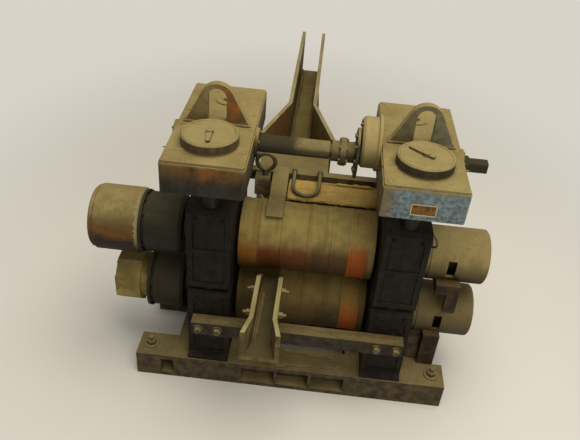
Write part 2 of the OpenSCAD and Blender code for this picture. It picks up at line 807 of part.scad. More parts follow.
// The thin clutch flange with its ring of holes
module clutch_flange() {
    hole_r = clutch_hole_d / 2;
    hole_ring_r = clutch_hole_ring_d / 2;
    color("dimgray") difference() {
        along_x(clutch_d / 2, clutch_x, clutch_x + clutch_t, cross_y, cross_z);
        along_x(cross_slim_d / 2 + cross_gap, clutch_x - eps, clutch_x + clutch_t + eps, cross_y, cross_z);
        for (i = [0:clutch_hole_count - 1]) {
            a = 360 * i / clutch_hole_count;
            along_x(hole_r, clutch_x - eps, clutch_x + clutch_t + eps,
                cross_y + hole_ring_r * cos(a), cross_z + hole_ring_r * sin(a));
        }
    }
}

// The clutch housing on the right cap
module clutch_drum() {
    r = drum_d / 2;
    start = clutch_x + clutch_t + clutch_clear;
    edge = drum_edge;
    foot = drum_foot_t;
    color("khaki") difference() {
        turned_x([[start, 0], [start, r - edge], [start + edge, r], [cap_in - foot, r],
            [cap_in - foot, r + edge], [cap_in, r + edge], [cap_in, 0]],
            cross_y + drum_shift, cross_z + drum_shift);
        along_x(cross_slim_d / 2 + clutch_clear / 2, start - eps, cap_in + eps, cross_y, cross_z);
    }
}

// A coupling hub on a roll's drive end, with a flange toward its sleeve
module coupling_hub(z, hub_out) {
    r = hub_d / 2;
    c = rim_chamfer;
    bore = shaft_r + seat_gap;
    blind = -hub_in - hub_shaft_l;
    lip = hub_lip;
    color("dimgray") turned_x([[-hub_in, bore], [-hub_in, r - 2 * c], [-hub_in - 2 * c, r - c],
        [-hub_out + 2 * lip, r - c], [-hub_out + 2 * lip, r - 2 * c], [-hub_out + lip, r - 2 * c],
        [-hub_out + lip, r], [-hub_out, r], [-hub_out, 0], [blind, 0], [blind, bore]], 0, z);
}

// The upper coupling sleeve with the bore that takes a spindle's end
module upper_coupling_sleeve() {
    r = sleeve_d / 2;
    c = rim_chamfer;
    start = -upper_hub_out;
    end = start - sleeve_l;
    lip = sleeve_lip;
    color("khaki") turned_x([[start, 0], [start, r - c], [start - c, r],
        [end + lip, r], [end + lip - c, r - c], [end + c, r - c], [end, r - 2 * c],
        [end, spindle_r], [end + spindle_depth, spindle_r], [end + spindle_depth, 0]], 0, upper_z);
}

// The lower coupling sleeve: a round neck and an eight-sided head with the spindle's bore
module lower_coupling_sleeve() {
    start = -lower_hub_out;
    end = start - lower_sleeve_l;
    neck_end = start - lower_neck_l;
    color("khaki") difference() {
        union() {
            along_x(lower_neck_d / 2, neck_end, start, 0, lower_z);
            translate([end, 0, lower_z]) rotate([0, 90, 0]) rotate([0, 0, 22.5])
                cylinder(d = lower_sleeve_d, h = neck_end - end, $fn = 8);
        }
        along_x(spindle_r, end - eps, end + spindle_depth, 0, lower_z);
    }
}

// A cover over a roll's operator end, with its flange, neck and keeper slot
module end_cover(z) {
    c = rim_chamfer;
    flange_end = chock_out + cover_flange_t;
    neck_end = flange_end + cover_neck_l;
    bore = cover_r - cover_wall;
    neck_out_r = cover_r - cover_wall / 3;
    dish = cover_dish;
    color("dimgray") difference() {
        turned_x([[chock_out, bore], [chock_out, cover_flange_d / 2], [flange_end, cover_flange_d / 2],
            [flange_end, neck_out_r], [neck_end, neck_out_r], [neck_end, cover_r],
            [cover_out - c, cover_r], [cover_out, cover_r - c], [cover_out, bore],
            [cover_out - dish, bore - dish], [cover_out - dish, 0], [cover_out - cover_wall, 0],
            [cover_out - cover_wall, bore]], 0, z);
        block([chock_out + slot_x - slot_w / 2, -cover_d, z - slot_h / 2],
            [chock_out + slot_x + slot_w / 2, -shaft_r - slot_stop, z + slot_h / 2]);
    }
}

// The bracket under the upper cover, with the upright that hangs from it
module upper_keeper() {
    x0 = chock_out + slot_x - keeper_w / 2;
    x1 = x0 + keeper_w;
    outer = cover_r + keeper_out;
    top = upper_z - slot_h / 2 - pocket_rim;
    bottom = upper_z - keeper_under;
    color("sienna") difference() {
        union() {
            profile_x([[-outer, bottom], [-outer, top], [-keeper_top_y, top],
                [-keeper_foot_y, bottom]], x0, x1);
            block([x1 - keeper_plate_w, -outer, upper_z - cover_r - keeper_drop],
                [x1, -outer + keeper_plate_t, top - keeper_out / 2]);
        }
        along_x(cover_r + seat_gap, chock_out, cover_out, 0, upper_z);
    }
}

// The bracket in front of the block under the lower cover
module lower_keeper() {
    x0 = chock_out + slot_x - keeper_w / 2;
    x1 = min(x0 + keeper_w, chock_out + pedestal_gap + pedestal_w);
    top = lower_z - slot_h / 2 - keeper_gap;
    color("sienna") difference() {
        profile_x([[-cover_r, base_h], [-cover_r, base_h + foot_t],
            [-cover_r + pedestal_slope, lower_z - pedestal_drop], [-keeper_top_y, top],
            [-cover_r - keeper_out, top], [-cover_r - keeper_out, base_h]], x0, x1);
        along_x(cover_r + seat_gap, chock_out, cover_out, 0, lower_z);
    }
}

// The bar behind the upper roll, with flanges on the chocks
module back_cross_bar() {
    flange_rise = bar_flange_rise;
    color("dimgray") union() {
        block([-chock_in, bar_y, bar_top - bar_h], [chock_in, bar_y + bar_t, bar_top]);
        for (x = [-chock_in, chock_in - bar_flange_t])
            block([x, bar_y - flange_rise / 2, bar_top - bar_h - flange_rise],
                [x + bar_flange_t, chock_l / 2, bar_top + flange_rise]);
    }
}

// The ribbed block on the bar, with the eye that lifts it
module bar_clamp() {
    depth = clamp_depth;
    groove = clamp_groove;
    top = bar_top - clamp_drop;
    bottom = top - clamp_h;
    rib_gap = (top - bottom) / (clamp_groove_count + 1);
    x0 = clamp_x - clamp_w / 2;
    x1 = clamp_x + clamp_w / 2;
    color("dimgray") union() {
        difference() {
            block([x0, bar_y - depth, bottom], [x1, bar_y, top]);
            for (i = [1:clamp_groove_count]) {
                z = bottom + i * rib_gap;
                block([x0 - eps, bar_y - depth - eps, z - groove / 2],
                    [x1 + eps, bar_y - depth + groove, z + groove / 2]);
            }
        }
        translate([eye_x, bar_y - depth / 2, top - eps]) cylinder(d = eye_neck_d, h = eye_neck_h + eps);
        translate([eye_x, bar_y - depth / 2, top + eye_r + eye_t]) rotate([90, 0, 0])
            rotate_extrude() translate([eye_r - eye_t / 2, 0]) circle(d = eye_t, $fn = 24);
    }
}

// The tab that reaches from the bar over the working pass and ends in a curved shoe
module roll_tab() {
    r = roll_r + tab_clear;
    arm_y = bar_y + bar_t;
    bend_in = tab_bend;
    lower = arc(0, upper_z, r, shoe_from, shoe_to, 10);
    upper = arc(0, upper_z, r + tab_t, shoe_to, shoe_from + 3, 10);
    color("khaki") profile_x(concat([[arm_y, bar_top], [bar_y - tab_level, bar_top]], lower, upper,
        [[bar_y - tab_level - bend_in, bar_top + tab_t], [arm_y, bar_top + tab_t]]),
        tab_x - tab_w / 2, tab_x + tab_w / 2);
}

// The dusty guard that hangs from the bar over the back of the roll
module roll_guard() {
    top = bar_top - guard_drop;
    lip_top = top - guard_t;
    skirt = guard_skirt_y;
    color("khaki") profile_x([[bar_y, top], [guard_lip_y, lip_top],
        [guard_lip_y - guard_t, lip_top - guard_lip_h], [guard_lip_y, lip_top - guard_lip_h],
        [guard_lip_y + guard_t, lip_top - guard_t], [skirt, lip_top - guard_t],
        [skirt, top - guard_skirt_h], [skirt + guard_t, top - guard_skirt_h],
        [skirt + guard_t, lip_top - guard_t], [bar_y, top - guard_t]],
        guard_x0, chock_in - bar_flange_t);
}

// The spray pipe: two bosses on the guard's edge, two straight legs and the bend between them
module spray_pipe() {
    r = pipe_d / 2;
    boss_r = pipe_boss_d / 2;
    z = bar_top + boss_r + seat_gap;
    color("darkolivegreen") translate([pipe_x, bar_y, z]) union() {
        for (s = [left, right]) translate([s * pipe_loop_r, 0, 0]) rotate([-90, 0, 0])
            cylinder(r = boss_r, h = bar_t / 2);
        rotate([pipe_tilt, 0, 0]) {
            for (s = [left, right]) translate([s * pipe_loop_r, r, 0]) rotate([90, 0, 0])
                cylinder(r = r, h = pipe_leg_l + r);
            translate([0, -pipe_leg_l, 0]) rotate([0, 0, 180]) rotate_extrude(angle = 180)
                translate([pipe_loop_r, 0]) circle(d = pipe_d, $fn = 32);
        }
    }
}

// A bar across the lower chocks that carries the guides, with the seat of its guide
module rest_bar(way, seat_x, seat_w) {
    near = way * chock_l / 2;
    far = way * (chock_l / 2 + rest_bar_t);
    half = seat_w / 2;
    slope = seat_slope;
    color("dimgray") union() {
        block([-chock_out + pocket_rim, min(near, far), rest_bar_z - rest_bar_h],
            [chock_out - pocket_rim, max(near, far), rest_bar_z]);
        profile_y([[seat_x - half - slope, rest_bar_z - eps],
            [seat_x + half + slope, rest_bar_z - eps], [seat_x + half, guide_z],
            [seat_x - half, guide_z]], min(near, far), max(near, far));
    }
}

// The guide that leads the bar into the working pass: nose, side plates and spread mouth
module entry_guide() {
    half = entry_w / 2;
    top = pass_z + entry_h;
    lip_z = guide_floor_z - guide_floor_t / 5;
    heel_y = -entry_heel;
    side = [[-entry_tip, lip_z], [-entry_tip, pass_z + guide_t / 2], [-entry_shoulder, top],
        [-entry_kink, top], [-entry_kink, guide_z], [heel_y, guide_z]];
    color("tan") union() {
        for (x = [guide_x - half - guide_t, guide_x + half]) profile_x(side, x, x + guide_t);
        profile_x([[-entry_tip, lip_z], [-entry_tip, guide_floor_z], [-entry_kink, guide_floor_z],
            [-entry_kink, guide_z], [heel_y, guide_z]],
            guide_x - half - guide_t, guide_x + half + guide_t);
        translate([guide_x, 0, guide_z]) {
            linear_extrude(height = guide_floor_t) polygon([[-half - guide_t, -entry_kink],
                [-half - guide_t - entry_spread, -entry_mouth],
                [half + guide_t + entry_spread, -entry_mouth], [half + guide_t, -entry_kink]]);
            for (s = [left, right])
                linear_extrude(height = top - guide_z) polygon([[s * half, -entry_kink],
                    [s * (half + guide_t), -entry_kink],
                    [s * (half + guide_t + entry_spread), -entry_mouth],
                    [s * (half + entry_spread), -entry_mouth]]);
        }
    }
}

// A trestle: two splayed legs with foot plates, a head beam and a brace
module trestle(x, y, width, height) {
    splay = leg_w;
    foot_w = foot_plate_w;
    plate_t = foot_plate_t;
    head = trestle_beam_h;
    half = width / 2;
    brace_z = trestle_brace_z;
    translate([x, y, 0]) union() {
        for (s = [left, right]) {
            foot_x = s * (half + splay - leg_w / 2);
            profile_y([[foot_x + s * leg_w / 2, plate_t], [foot_x - s * leg_w / 2, plate_t],
                [s * (half - leg_w), height], [s * half, height]], -leg_w / 2, leg_w / 2);
            block([foot_x - foot_w / 2, -foot_w / 2, 0], [foot_x + foot_w / 2, foot_w / 2, plate_t]);
        }
        block([-half, -leg_w / 2, height - head], [half, leg_w / 2, height]);
        block([-half - splay / 4, -leg_w / 4, brace_z], [half + splay / 4, leg_w / 4, brace_z + head]);
    }
}

// The exit guide seen from above: a narrow nose that widens to the covered part
function exit_plan(inset, start) = let(n = exit_nose_w / 2 - inset, h = exit_hood_w / 2 - inset,
        spread_y = chock_l / 2 + rest_bar_t) [
    [-n, start], [n, start], [n, spread_y], [h, exit_hood], [h, exit_mouth + inset],
    [-h, exit_mouth + inset], [-h, exit_hood], [-n, spread_y]];

// The exit guide: floor, low sides toward the roll, and the covered part behind them
module exit_guide_box() {
    low = pass_z + exit_low_h;
    high = pass_z + exit_hood_h;
    color("khaki") difference() {
        translate([exit_x, 0, guide_z]) linear_extrude(height = high - guide_z)
            polygon(exit_plan(0, exit_nose));
        translate([exit_x, 0, guide_floor_z]) linear_extrude(height = high - exit_wall - guide_floor_z)
            polygon(exit_plan(exit_wall, exit_nose - exit_wall));
        block([exit_x - exit_hood_w, exit_nose - eps, low], [exit_x + exit_hood_w, exit_hood, high + eps]);
    }
}

// Half of the exit trough seen from above, as a strip between two distances from its edge
function trough_strip(inner, outer) = let(m = exit_mouth_w / 2, w = exit_w / 2) [
    [m + inner, exit_mouth], [m + outer, exit_mouth], [w + outer, exit_neck], [w + outer, exit_end],
    [w + inner, exit_end], [w + inner, exit_neck]];

// The trough that carries the bar on: floor, sides and lips, with its spread mouth
module exit_trough() {
    floor_z = guide_z + trough_t;
    m = exit_mouth_w / 2;
    w = exit_w / 2;
    top = pass_z + exit_h;
    color("tan") translate([exit_x, 0, 0]) union() {
        translate([0, 0, floor_z]) linear_extrude(height = trough_t) polygon([[-m, exit_mouth],
            [m, exit_mouth], [w, exit_neck], [w, exit_end], [-w, exit_end], [-w, exit_neck]]);
        for (s = [0, 1]) mirror([s, 0, 0]) {
            translate([0, 0, floor_z]) linear_extrude(height = top - floor_z)
                polygon(trough_strip(-trough_t, 0));
            translate([0, 0, top - trough_t]) linear_extrude(height = trough_t)
                polygon(trough_strip(-trough_t, lip_w));
        }
    }
}

module exit_trough_stand() {
    height = guide_z + trough_t;
    color("dimgray") {
        trestle(exit_x, exit_mouth + trestle_inset, exit_w + 2 * leg_w, height);
        trestle(exit_x, exit_end - trestle_inset, exit_w, height);
    }
}

base_frame();
end_pedestal();
column(left, front);  // column_left_front
column(left, back);  // column_left_back
column(right, front);  // column_right_front
column(right, back);  // column_right_back
lower_chock(left);  // lower_chock_left
lower_chock(right);  // lower_chock_right
upper_chock(left);  // upper_chock_left
upper_chock(right);  // upper_chock_right
lower_roll();
upper_roll();
coupling_hub(lower_z, lower_hub_out);  // lower_coupling_hub
coupling_hub(upper_z, upper_hub_out);  // upper_coupling_hub
lower_coupling_sleeve();
upper_coupling_sleeve();
end_cover(lower_z);  // lower_end_cover
end_cover(upper_z);  // upper_end_cover
lower_keeper();
upper_keeper();
cap(left);  // cap_left
cap(right);  // cap_right
lifting_lug(left);  // lifting_lug_left
lifting_lug(right);  // lifting_lug_right
dial(left);  // dial_left
dial(right);  // dial_right
pointer(left, hand_left_angle);  // pointer_left
pointer(right, hand_right_angle);  // pointer_right
cross_shaft();
shaft_sleeve();
clutch_flange();
clutch_drum();
back_cross_bar();
bar_clamp();
roll_tab();
roll_guard();
spray_pipe();
rest_bar(front, guide_x, entry_w);  // front_rest_bar
rest_bar(back, exit_x, exit_nose_w);  // back_rest_bar
entry_guide();
exit_guide_box();
exit_trough();
exit_trough_stand();
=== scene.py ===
# %% [markdown]
# # A two-high bar mill stand, dressed
#
# The solids of this mill stand come from the CAD model, already in place and in metres.
# This lesson gives them their looks: years of tan scale dust on everything that faces up,
# black grease and painted shade on the chocks, rust in bands on the rolls, and the small
# parts that a CAD model leaves out, such as nuts, screws, weld beads and heaps of dust.
#
# Each piece is a surface worked out with numpy, and each finish is a small node graph.

import json
import math

import bpy
import numpy as np
from mathutils import Matrix, Vector


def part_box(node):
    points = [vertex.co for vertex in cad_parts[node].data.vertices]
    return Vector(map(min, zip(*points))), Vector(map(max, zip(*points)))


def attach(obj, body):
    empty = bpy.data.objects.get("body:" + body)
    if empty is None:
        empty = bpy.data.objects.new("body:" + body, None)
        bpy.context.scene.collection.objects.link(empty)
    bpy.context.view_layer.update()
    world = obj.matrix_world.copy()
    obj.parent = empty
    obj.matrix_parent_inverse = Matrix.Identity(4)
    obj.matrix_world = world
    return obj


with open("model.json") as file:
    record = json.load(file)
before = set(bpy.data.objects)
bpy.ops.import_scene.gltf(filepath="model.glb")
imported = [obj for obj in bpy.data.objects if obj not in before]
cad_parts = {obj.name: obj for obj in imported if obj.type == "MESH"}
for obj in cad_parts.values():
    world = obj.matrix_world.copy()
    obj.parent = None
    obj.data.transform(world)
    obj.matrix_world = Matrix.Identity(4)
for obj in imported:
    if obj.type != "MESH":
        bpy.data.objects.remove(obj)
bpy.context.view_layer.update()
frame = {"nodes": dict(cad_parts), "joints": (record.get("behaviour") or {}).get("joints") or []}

# %% [markdown]
# ## The camera
#
# The photograph was taken from straight in front of the stand and well above it, and it
# points past the stand to the left. The camera's place, its tilt and its lens were worked
# out from the corners of the two screwdown caps. The stand fills only a corner of that view,
# so the camera stays where it was, turns by the smallest angle that brings the stand to the
# middle, and takes a longer lens. The outlines keep the photograph's perspective, because
# perspective depends on the place alone.
#
# The turn is Rodrigues' formula: about the axis that is square to the old and the new line
# of sight, by the angle between them.

# %% Camera
IMAGE_WIDTH = 580
PHOTO_FOCAL = 407
AIM_OFFSET = (95, 120)
CLOSER_FOCAL = 650
EYE_PLACE = (-0.01, -2.85, 3.00)
YAW, PITCH, ROLL = (math.radians(a) for a in (16.8, 19.8, 1.9))


def camera_axes(yaw, pitch, roll):
    """Right, down and forward of a camera turned left by yaw, down by pitch, then rolled."""
    forward = np.array([-math.sin(yaw) * math.cos(pitch), math.cos(yaw) * math.cos(pitch),
                        -math.sin(pitch)])
    level = np.array([math.cos(yaw), math.sin(yaw), 0.0])
    down = np.cross(forward, level)
    right = math.cos(roll) * level + math.sin(roll) * down
    return right, math.cos(roll) * down - math.sin(roll) * level, forward


def smallest_turn(old, new):
    """I + K + K K (1 - cos) / sin^2, where K is the cross product with old x new."""
    axis = np.cross(old, new)
    cross = np.array([[0, -axis[2], axis[1]], [axis[2], 0, -axis[0]], [-axis[1], axis[0], 0]])
    return np.eye(3) + cross + cross @ cross * (1 - old @ new) / (axis @ axis)


right, down, forward = camera_axes(YAW, PITCH, ROLL)
aim = forward + (AIM_OFFSET[0] * right + AIM_OFFSET[1] * down) / PHOTO_FOCAL
turned_by = smallest_turn(forward, aim / np.linalg.norm(aim))
columns = turned_by @ np.column_stack([right, -down, -forward])
eye = bpy.data.cameras.new("eye")
eye.sensor_width = 36.0
eye.lens = CLOSER_FOCAL / IMAGE_WIDTH * eye.sensor_width
camera = bpy.data.objects.new("camera", eye)
camera.matrix_world = Matrix.Translation(EYE_PLACE) @ Matrix(columns.tolist()).to_4x4()
bpy.context.scene.collection.objects.link(camera)
bpy.context.scene.camera = camera
print("lens", round(eye.lens, 2), "mm")

# %% [markdown]
# ## A recipe for a finish
#
# A finish here is always the same kind of thing: a ground colour, something on top of it,
# and a mask that says where. The little class below writes the nodes, so that a finish
# reads as a few lines. All masks are made from the place on the object (Object coordinates)
# and from the way the surface faces in the object's own space, so the dust stays where it is
# when a roll turns. Colours are written as a paint chart gives them, from 0 to 255.

# %% Node recipes
LOOKS = {}


def paint(red, green, blue):
    """A paint chart's colour turned into Blender's linear numbers."""
    chart = np.array([red, green, blue]) / 255
    linear = np.where(chart <= 0.04045, chart / 12.92, ((chart + 0.055) / 1.055) ** 2.4)
    return (*linear.tolist(), 1.0)


class Finish:
    """Writes one material's nodes, from masks and colours to the shader."""

    def __init__(self, name):
        LOOKS[name] = bpy.data.materials.new(name)
        LOOKS[name].use_nodes = True
        self.tree = LOOKS[name].node_tree
        self.tree.nodes.clear()
        self.shader = self.node("ShaderNodeBsdfPrincipled")
        self.out = self.node("ShaderNodeOutputMaterial").inputs["Surface"]
        self.feed(self.out, self.shader.outputs[0])
        where = self.node("ShaderNodeTexCoord")
        self.place = where.outputs["Object"]
        self.x, self.y, self.z = self.split(self.place)
        self.facing = self.split(where.outputs["Normal"])

    def node(self, kind, **settings):
        made = self.tree.nodes.new(kind)
        for key, value in settings.items():
            setattr(made, key, value)
        return made

    def feed(self, socket, value):
        """Links a node's output, or sets a plain number or a colour from the paint chart."""
        if isinstance(value, bpy.types.NodeSocket):
            self.tree.links.new(value, socket)
        else:
            socket.default_value = paint(*value) if isinstance(value, tuple) else value

    def split(self, vector):
        made = self.node("ShaderNodeSeparateXYZ")
        self.feed(made.inputs[0], vector)
        return made.outputs[0], made.outputs[1], made.outputs[2]

    def math(self, what, first, *others):
        """Joins the values one after another by the same sum."""
        result = first
        for value in others:
            made = self.node("ShaderNodeMath", operation=what)
            self.feed(made.inputs[0], result)
            self.feed(made.inputs[1], value)
            result = made.outputs[0]
        return result

    def times(self, *masks):
        return self.math("MULTIPLY", *masks)

    def plus(self, *values):
        return self.math("ADD", *values)

    def sway(self, mask, strength):
        """A mask from 0 to 1 as a push that goes both ways, half of strength each."""
        return self.times(self.math("SUBTRACT", mask, 0.5), strength)

    def rise(self, value, low, high):
        """0 below low, 1 above high and a smooth step between; low may be over high."""
        made = self.node("ShaderNodeMapRange", interpolation_type="SMOOTHSTEP")
        for socket, number in zip(made.inputs, (value, low, high, 0.0, 1.0)):
            self.feed(socket, number)
        return made.outputs[0]

    def between(self, value, low, high, edge):
        """1 from low to high, with a smooth edge of that width on both sides."""
        return self.times(self.rise(value, low - edge, low + edge),
                          self.rise(value, high + edge, high - edge))

    def noise(self, size, detail, shift=0, stretch=(1, 1, 1), rough=0.55, warp=0.0):
        """Cloudy noise from 0 to 1 with lumps about size metres across.

        Each mask has its own shift, a place in the noise, so that no two are alike.
        """
        place = self.node("ShaderNodeMapping")
        self.feed(place.inputs["Vector"], self.place)
        place.inputs["Scale"].default_value = stretch
        place.inputs["Location"].default_value = (shift, shift * 1.7, shift * 0.6)
        made = self.node("ShaderNodeTexNoise")
        self.feed(made.inputs["Vector"], place.outputs[0])
        made.inputs["Scale"].default_value = 1.0 / size
        made.inputs["Detail"].default_value = detail
        made.inputs["Roughness"].default_value = rough
        made.inputs["Distortion"].default_value = warp
        return made.outputs["Fac"]

    def patches(self, size, detail, shift, low, high, **shape):
        """Noise stepped from low to high, so that it lies in separate patches."""
        return self.rise(self.noise(size, detail, shift, **shape), low, high)

    def mix(self, mask, under, over):
        made = self.node("ShaderNodeMix", data_type="RGBA")
        for socket, value in ((0, mask), (6, under), (7, over)):
            self.feed(made.inputs[socket], value)
        return made.outputs[2]

    def cover(self, under, mask, strength, over):
        """Lays a colour over another where the mask is, no stronger than strength."""
        return self.mix(self.times(mask, strength), under, over)

    def blend(self, mask, under, over):
        """Mixes two plain numbers or number outputs by a mask."""
        made = self.node("ShaderNodeMix", data_type="FLOAT")
        for socket, value in ((0, mask), (2, under), (3, over)):
            self.feed(made.inputs[socket], value)
        return made.outputs[0]

    def done(self, colour, rough, bump=None, depth=0.0015, gloss=0.2):
        """Feeds the shader; the bump's height is depth metres."""
        self.feed(self.shader.inputs["Base Color"], colour)
        self.feed(self.shader.inputs["Roughness"], rough)
        self.shader.inputs["Specular IOR Level"].default_value = gloss
        if bump is not None:
            made = self.node("ShaderNodeBump")
            made.inputs["Distance"].default_value = depth
            made.inputs["Strength"].default_value = 0.9
            self.feed(made.inputs["Height"], bump)
            self.feed(self.shader.inputs["Normal"], made.outputs[0])


# %% [markdown]
# ## Dust over everything
#
# Mill scale is a fine tan powder. It settles on whatever faces up, lies thick and pale
# where nobody wipes it, and thins out down the sides. Below it sits the piece's own finish:
# rust, paint or black grease. One function lays the dust over any ground, so all pieces
# look as if they had stood side by side for years. It could be painted by hand on each
# piece, but a mask from the surface's own direction does it for all of them at once.

# %% Dust and rust
DUST_PALE = (140, 124, 78)
DUST_DEEP = (120, 103, 62)
DUST_THIN = (84, 73, 47)
SOOT = (17, 14, 11)
# The next colour is grease darkened by painted shade, for the chocks.
GREASE_AND_SHADE = (27, 23, 17)


def lay_dust(f, ground, reach, thick, veil, shift, pale=DUST_PALE, deep=DUST_DEEP):
    """Dust over a ground colour: full where the face looks up, a veil on the sides.

    The mask is the upward part of the normal plus broad noise, stepped smoothly from reach
    to thick; the colour wanders between pale and deep. Gives colour, mask and fine grain.
    """
    broad = f.noise(0.17, 5, shift)
    fine = f.noise(0.011, 6, shift + 3)
    tilt = f.plus(f.facing[2], f.sway(broad, 0.5))
    heap = f.rise(tilt, reach, thick)
    veiled = f.cover(ground, f.patches(0.05, 6, shift + 5, 0.40, 0.70), veil, DUST_THIN)
    dust = f.mix(f.rise(f.blend(0.4, broad, fine), 0.33, 0.64), deep, pale)
    smudge = f.patches(0.028, 5, shift + 7, 0.60, 0.74, warp=0.6)
    return f.mix(heap, veiled, f.cover(dust, smudge, 0.35, DUST_THIN)), heap, fine


def rusted(f, light, dark, shift):
    """Rust: two browns wandering into each other, with small dark pits."""
    browns = f.mix(f.patches(0.05, 6, shift, 0.35, 0.66, warp=0.4), dark, light)
    return f.cover(browns, f.patches(0.006, 3, shift + 2, 0.60, 0.72), 0.6, SOOT)


def dusty_finish(name, light, dark, shift, reach, thick, veil=0.3, pale=DUST_PALE,
                 deep=DUST_DEEP):
    """The usual finish: a rusty or painted ground under dust."""
    f = Finish(name)
    ground = rusted(f, light, dark, shift)
    colour, heap, fine = lay_dust(f, ground, reach, thick, veil, shift, pale, deep)
    rough = f.blend(heap, f.blend(fine, 0.5, 0.8), 0.95)
    f.done(colour, rough, f.plus(fine, f.noise(0.03, 4, shift + 9)))


dusty_finish("dusty steel", (92, 79, 50), (54, 45, 29), 1, 0.35, 0.85)
dusty_finish("rusty steel", (104, 68, 34), (50, 35, 21), 2, 0.5, 1.0)
dusty_finish("small fittings", (86, 76, 52), (48, 42, 29), 3, 0.1, 0.9)
dusty_finish("dusted fittings", (112, 98, 64), (92, 79, 50), 4, -0.2, 0.7)
print("finishes so far:", sorted(LOOKS))

# %% [markdown]
# ## Black grease and painted shade on the castings
#
# The chocks are the castings that hold the roll bearings. Grease and water have mixed with
# scale into a dark crust, with a dull shine where it is fresh and a film of dust on the
# ledges, and painted shade makes it nearly black, for the shade under the caps. Stretching
# the noise along Z gives the runs, and scuffs, scratches and specks of rust lie on top.

# %% Chocks
f = Finish("greasy casting")
cake = f.noise(0.022, 8, 11, rough=0.7)
runs = f.noise(0.05, 5, 15, stretch=(1, 1, 0.18))
scratches = f.patches(0.012, 3, 17, 0.70, 0.76, stretch=(0.25, 1, 1.6))
# Painted shade: this near-black ground is grease darkened further, as the shade the chocks stand
# in.
ground = f.mix(f.rise(cake, 0.40, 0.75), SOOT, GREASE_AND_SHADE)
ground = f.cover(ground, f.rise(runs, 0.56, 0.80), 0.3, (44, 36, 24))
ground = f.cover(ground, scratches, 0.4, (76, 66, 46))
ground = f.cover(ground, f.patches(0.018, 4, 19, 0.66, 0.76), 0.45, (62, 36, 18))
colour, heap, fine = lay_dust(f, ground, 0.85, 1.50, 0.06, 11, (104, 91, 60), (74, 63, 40))
rough = f.blend(heap, f.blend(f.rise(runs, 0.35, 0.7), 0.52, 0.80), 0.95)
f.done(colour, rough, f.plus(cake, fine), depth=0.003, gloss=0.14)
print("castings done")

# %% [markdown]
# ## The rolls
#
# A roll is turned iron with shallow passes. Where the hot bar runs and the water dries, it
# rusts in bands: orange at one end, red-brown over the working pass and nearly black in
# between. Dust powders the upper half. The bands are masks along X, the fine rings are
# noise that is stretched round the roll, and the dust follows the way the surface faces.

# %% Roll finishes


def roll_finish(name, bands, shift, dusty, low_colour, thick):
    """Bands of rust along the barrel under a powder that thins toward the underside, and painted
    shade darkens the faces that look down.

    A band is (from X, to X, strength, colour); the last but one glows orange.
    """
    f = Finish(name)
    rings = f.noise(0.010, 5, shift, stretch=(1, 0.05, 0.05), rough=0.65)
    wide_rings = f.noise(0.055, 3, shift + 2, stretch=(1, 0.04, 0.04))
    cloud = f.noise(0.06, 6, shift + 4)
    ragged = f.rise(f.plus(cloud, f.times(rings, 0.3)), 0.26, 0.60)
    colour = f.mix(f.rise(cloud, 0.35, 0.7), low_colour, (46, 34, 18))
    worn = []
    for start, end, strength, rust in bands:
        worn.append(f.times(f.between(f.x, start, end, 0.006), strength, ragged))
        colour = f.mix(worn[-1], colour, rust)
    spots = f.patches(0.016, 2, shift + 6, 0.74, 0.78)
    colour = f.cover(colour, spots, 0.7, SOOT)
    tilt = f.plus(f.facing[2], f.sway(wide_rings, 0.30), f.sway(cloud, 0.45))
    powder = f.rise(tilt, 0.0, thick)
    dust = f.mix(f.rise(f.blend(0.70, rings, cloud), 0.30, 0.68), *dusty)
    dust = f.cover(dust, f.rise(wide_rings, 0.50, 0.66), 0.32, low_colour)
    colour = f.cover(colour, powder, 0.93, dust)
    # Painted shade: faces that look down are darkened toward a deep brown.
    colour = f.cover(colour, f.rise(tilt, 0.02, -0.50), 0.6, (44, 29, 13))
    below = f.rise(f.plus(f.facing[2], f.times(cloud, 0.5)), 0.95, 0.0)
    colour = f.cover(colour, f.times(worn[-2], below), 0.92, (120, 58, 4))
    colour = f.cover(colour, f.rise(rings, 0.60, 0.80), 0.14, (70, 54, 30))
    colour = f.cover(colour, spots, 0.5, SOOT)
    rough = f.blend(powder, f.blend(rings, 0.5, 0.7), 0.9)
    grain = f.plus(f.times(rings, 0.4), f.times(f.noise(0.009, 5, shift + 8), 0.5))
    f.done(colour, rough, grain, depth=0.0008)


roll_finish("upper roll", [
    (-0.360, -0.254, 0.95, (118, 74, 18)), (-0.244, -0.136, 1.0, (84, 40, 8)),
    (-0.120, 0.004, 0.9, (84, 46, 14)), (0.032, 0.128, 0.8, (60, 44, 20)),
    (0.142, 0.220, 0.7, (64, 50, 24)), (0.224, 0.320, 1.0, (136, 62, 6)),
    (0.326, 0.360, 0.8, (124, 104, 66))], 21, ((120, 103, 57), (140, 123, 70)), (80, 52, 18), 0.68)
roll_finish("lower roll", [
    (-0.360, -0.254, 0.6, (88, 70, 32)), (-0.244, -0.136, 0.8, (60, 42, 18)),
    (-0.120, 0.080, 0.7, (78, 62, 28)), (0.224, 0.322, 1.0, (140, 84, 20)),
    (0.334, 0.360, 0.6, (84, 66, 32))], 27, ((90, 75, 38), (108, 91, 48)), (66, 50, 22), 0.75)
print("rolls done")

# %% [markdown]
# ## The right screwdown cap
#
# Each cap is a painted gearbox. The right one still has its blue-grey paint on the front,
# mottled and chipped to dark primer along the lower edge, with a brown strip down its left
# side and pale bruises. The tops of both caps carry the thickest dust of all, and some of it
# clings just below the top edge. The masks use the caps' own heights, so the chips stay at
# the foot and the dust at the edge.

# %% Right cap
CAP_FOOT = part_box("cap_right")[0].z
CAP_EDGE = 1.490
f = Finish("cap right")


def edge_cling(f, coat, depth, shift, colour):
    """Dust full at the caps' top edge and gone depth metres below it."""
    ragged = f.sway(f.noise(0.03, 5, shift), depth * 1.6)
    cling = f.rise(f.plus(f.z, ragged), CAP_EDGE - depth, CAP_EDGE - depth * 0.15)
    return f.cover(coat, cling, 0.8, colour)


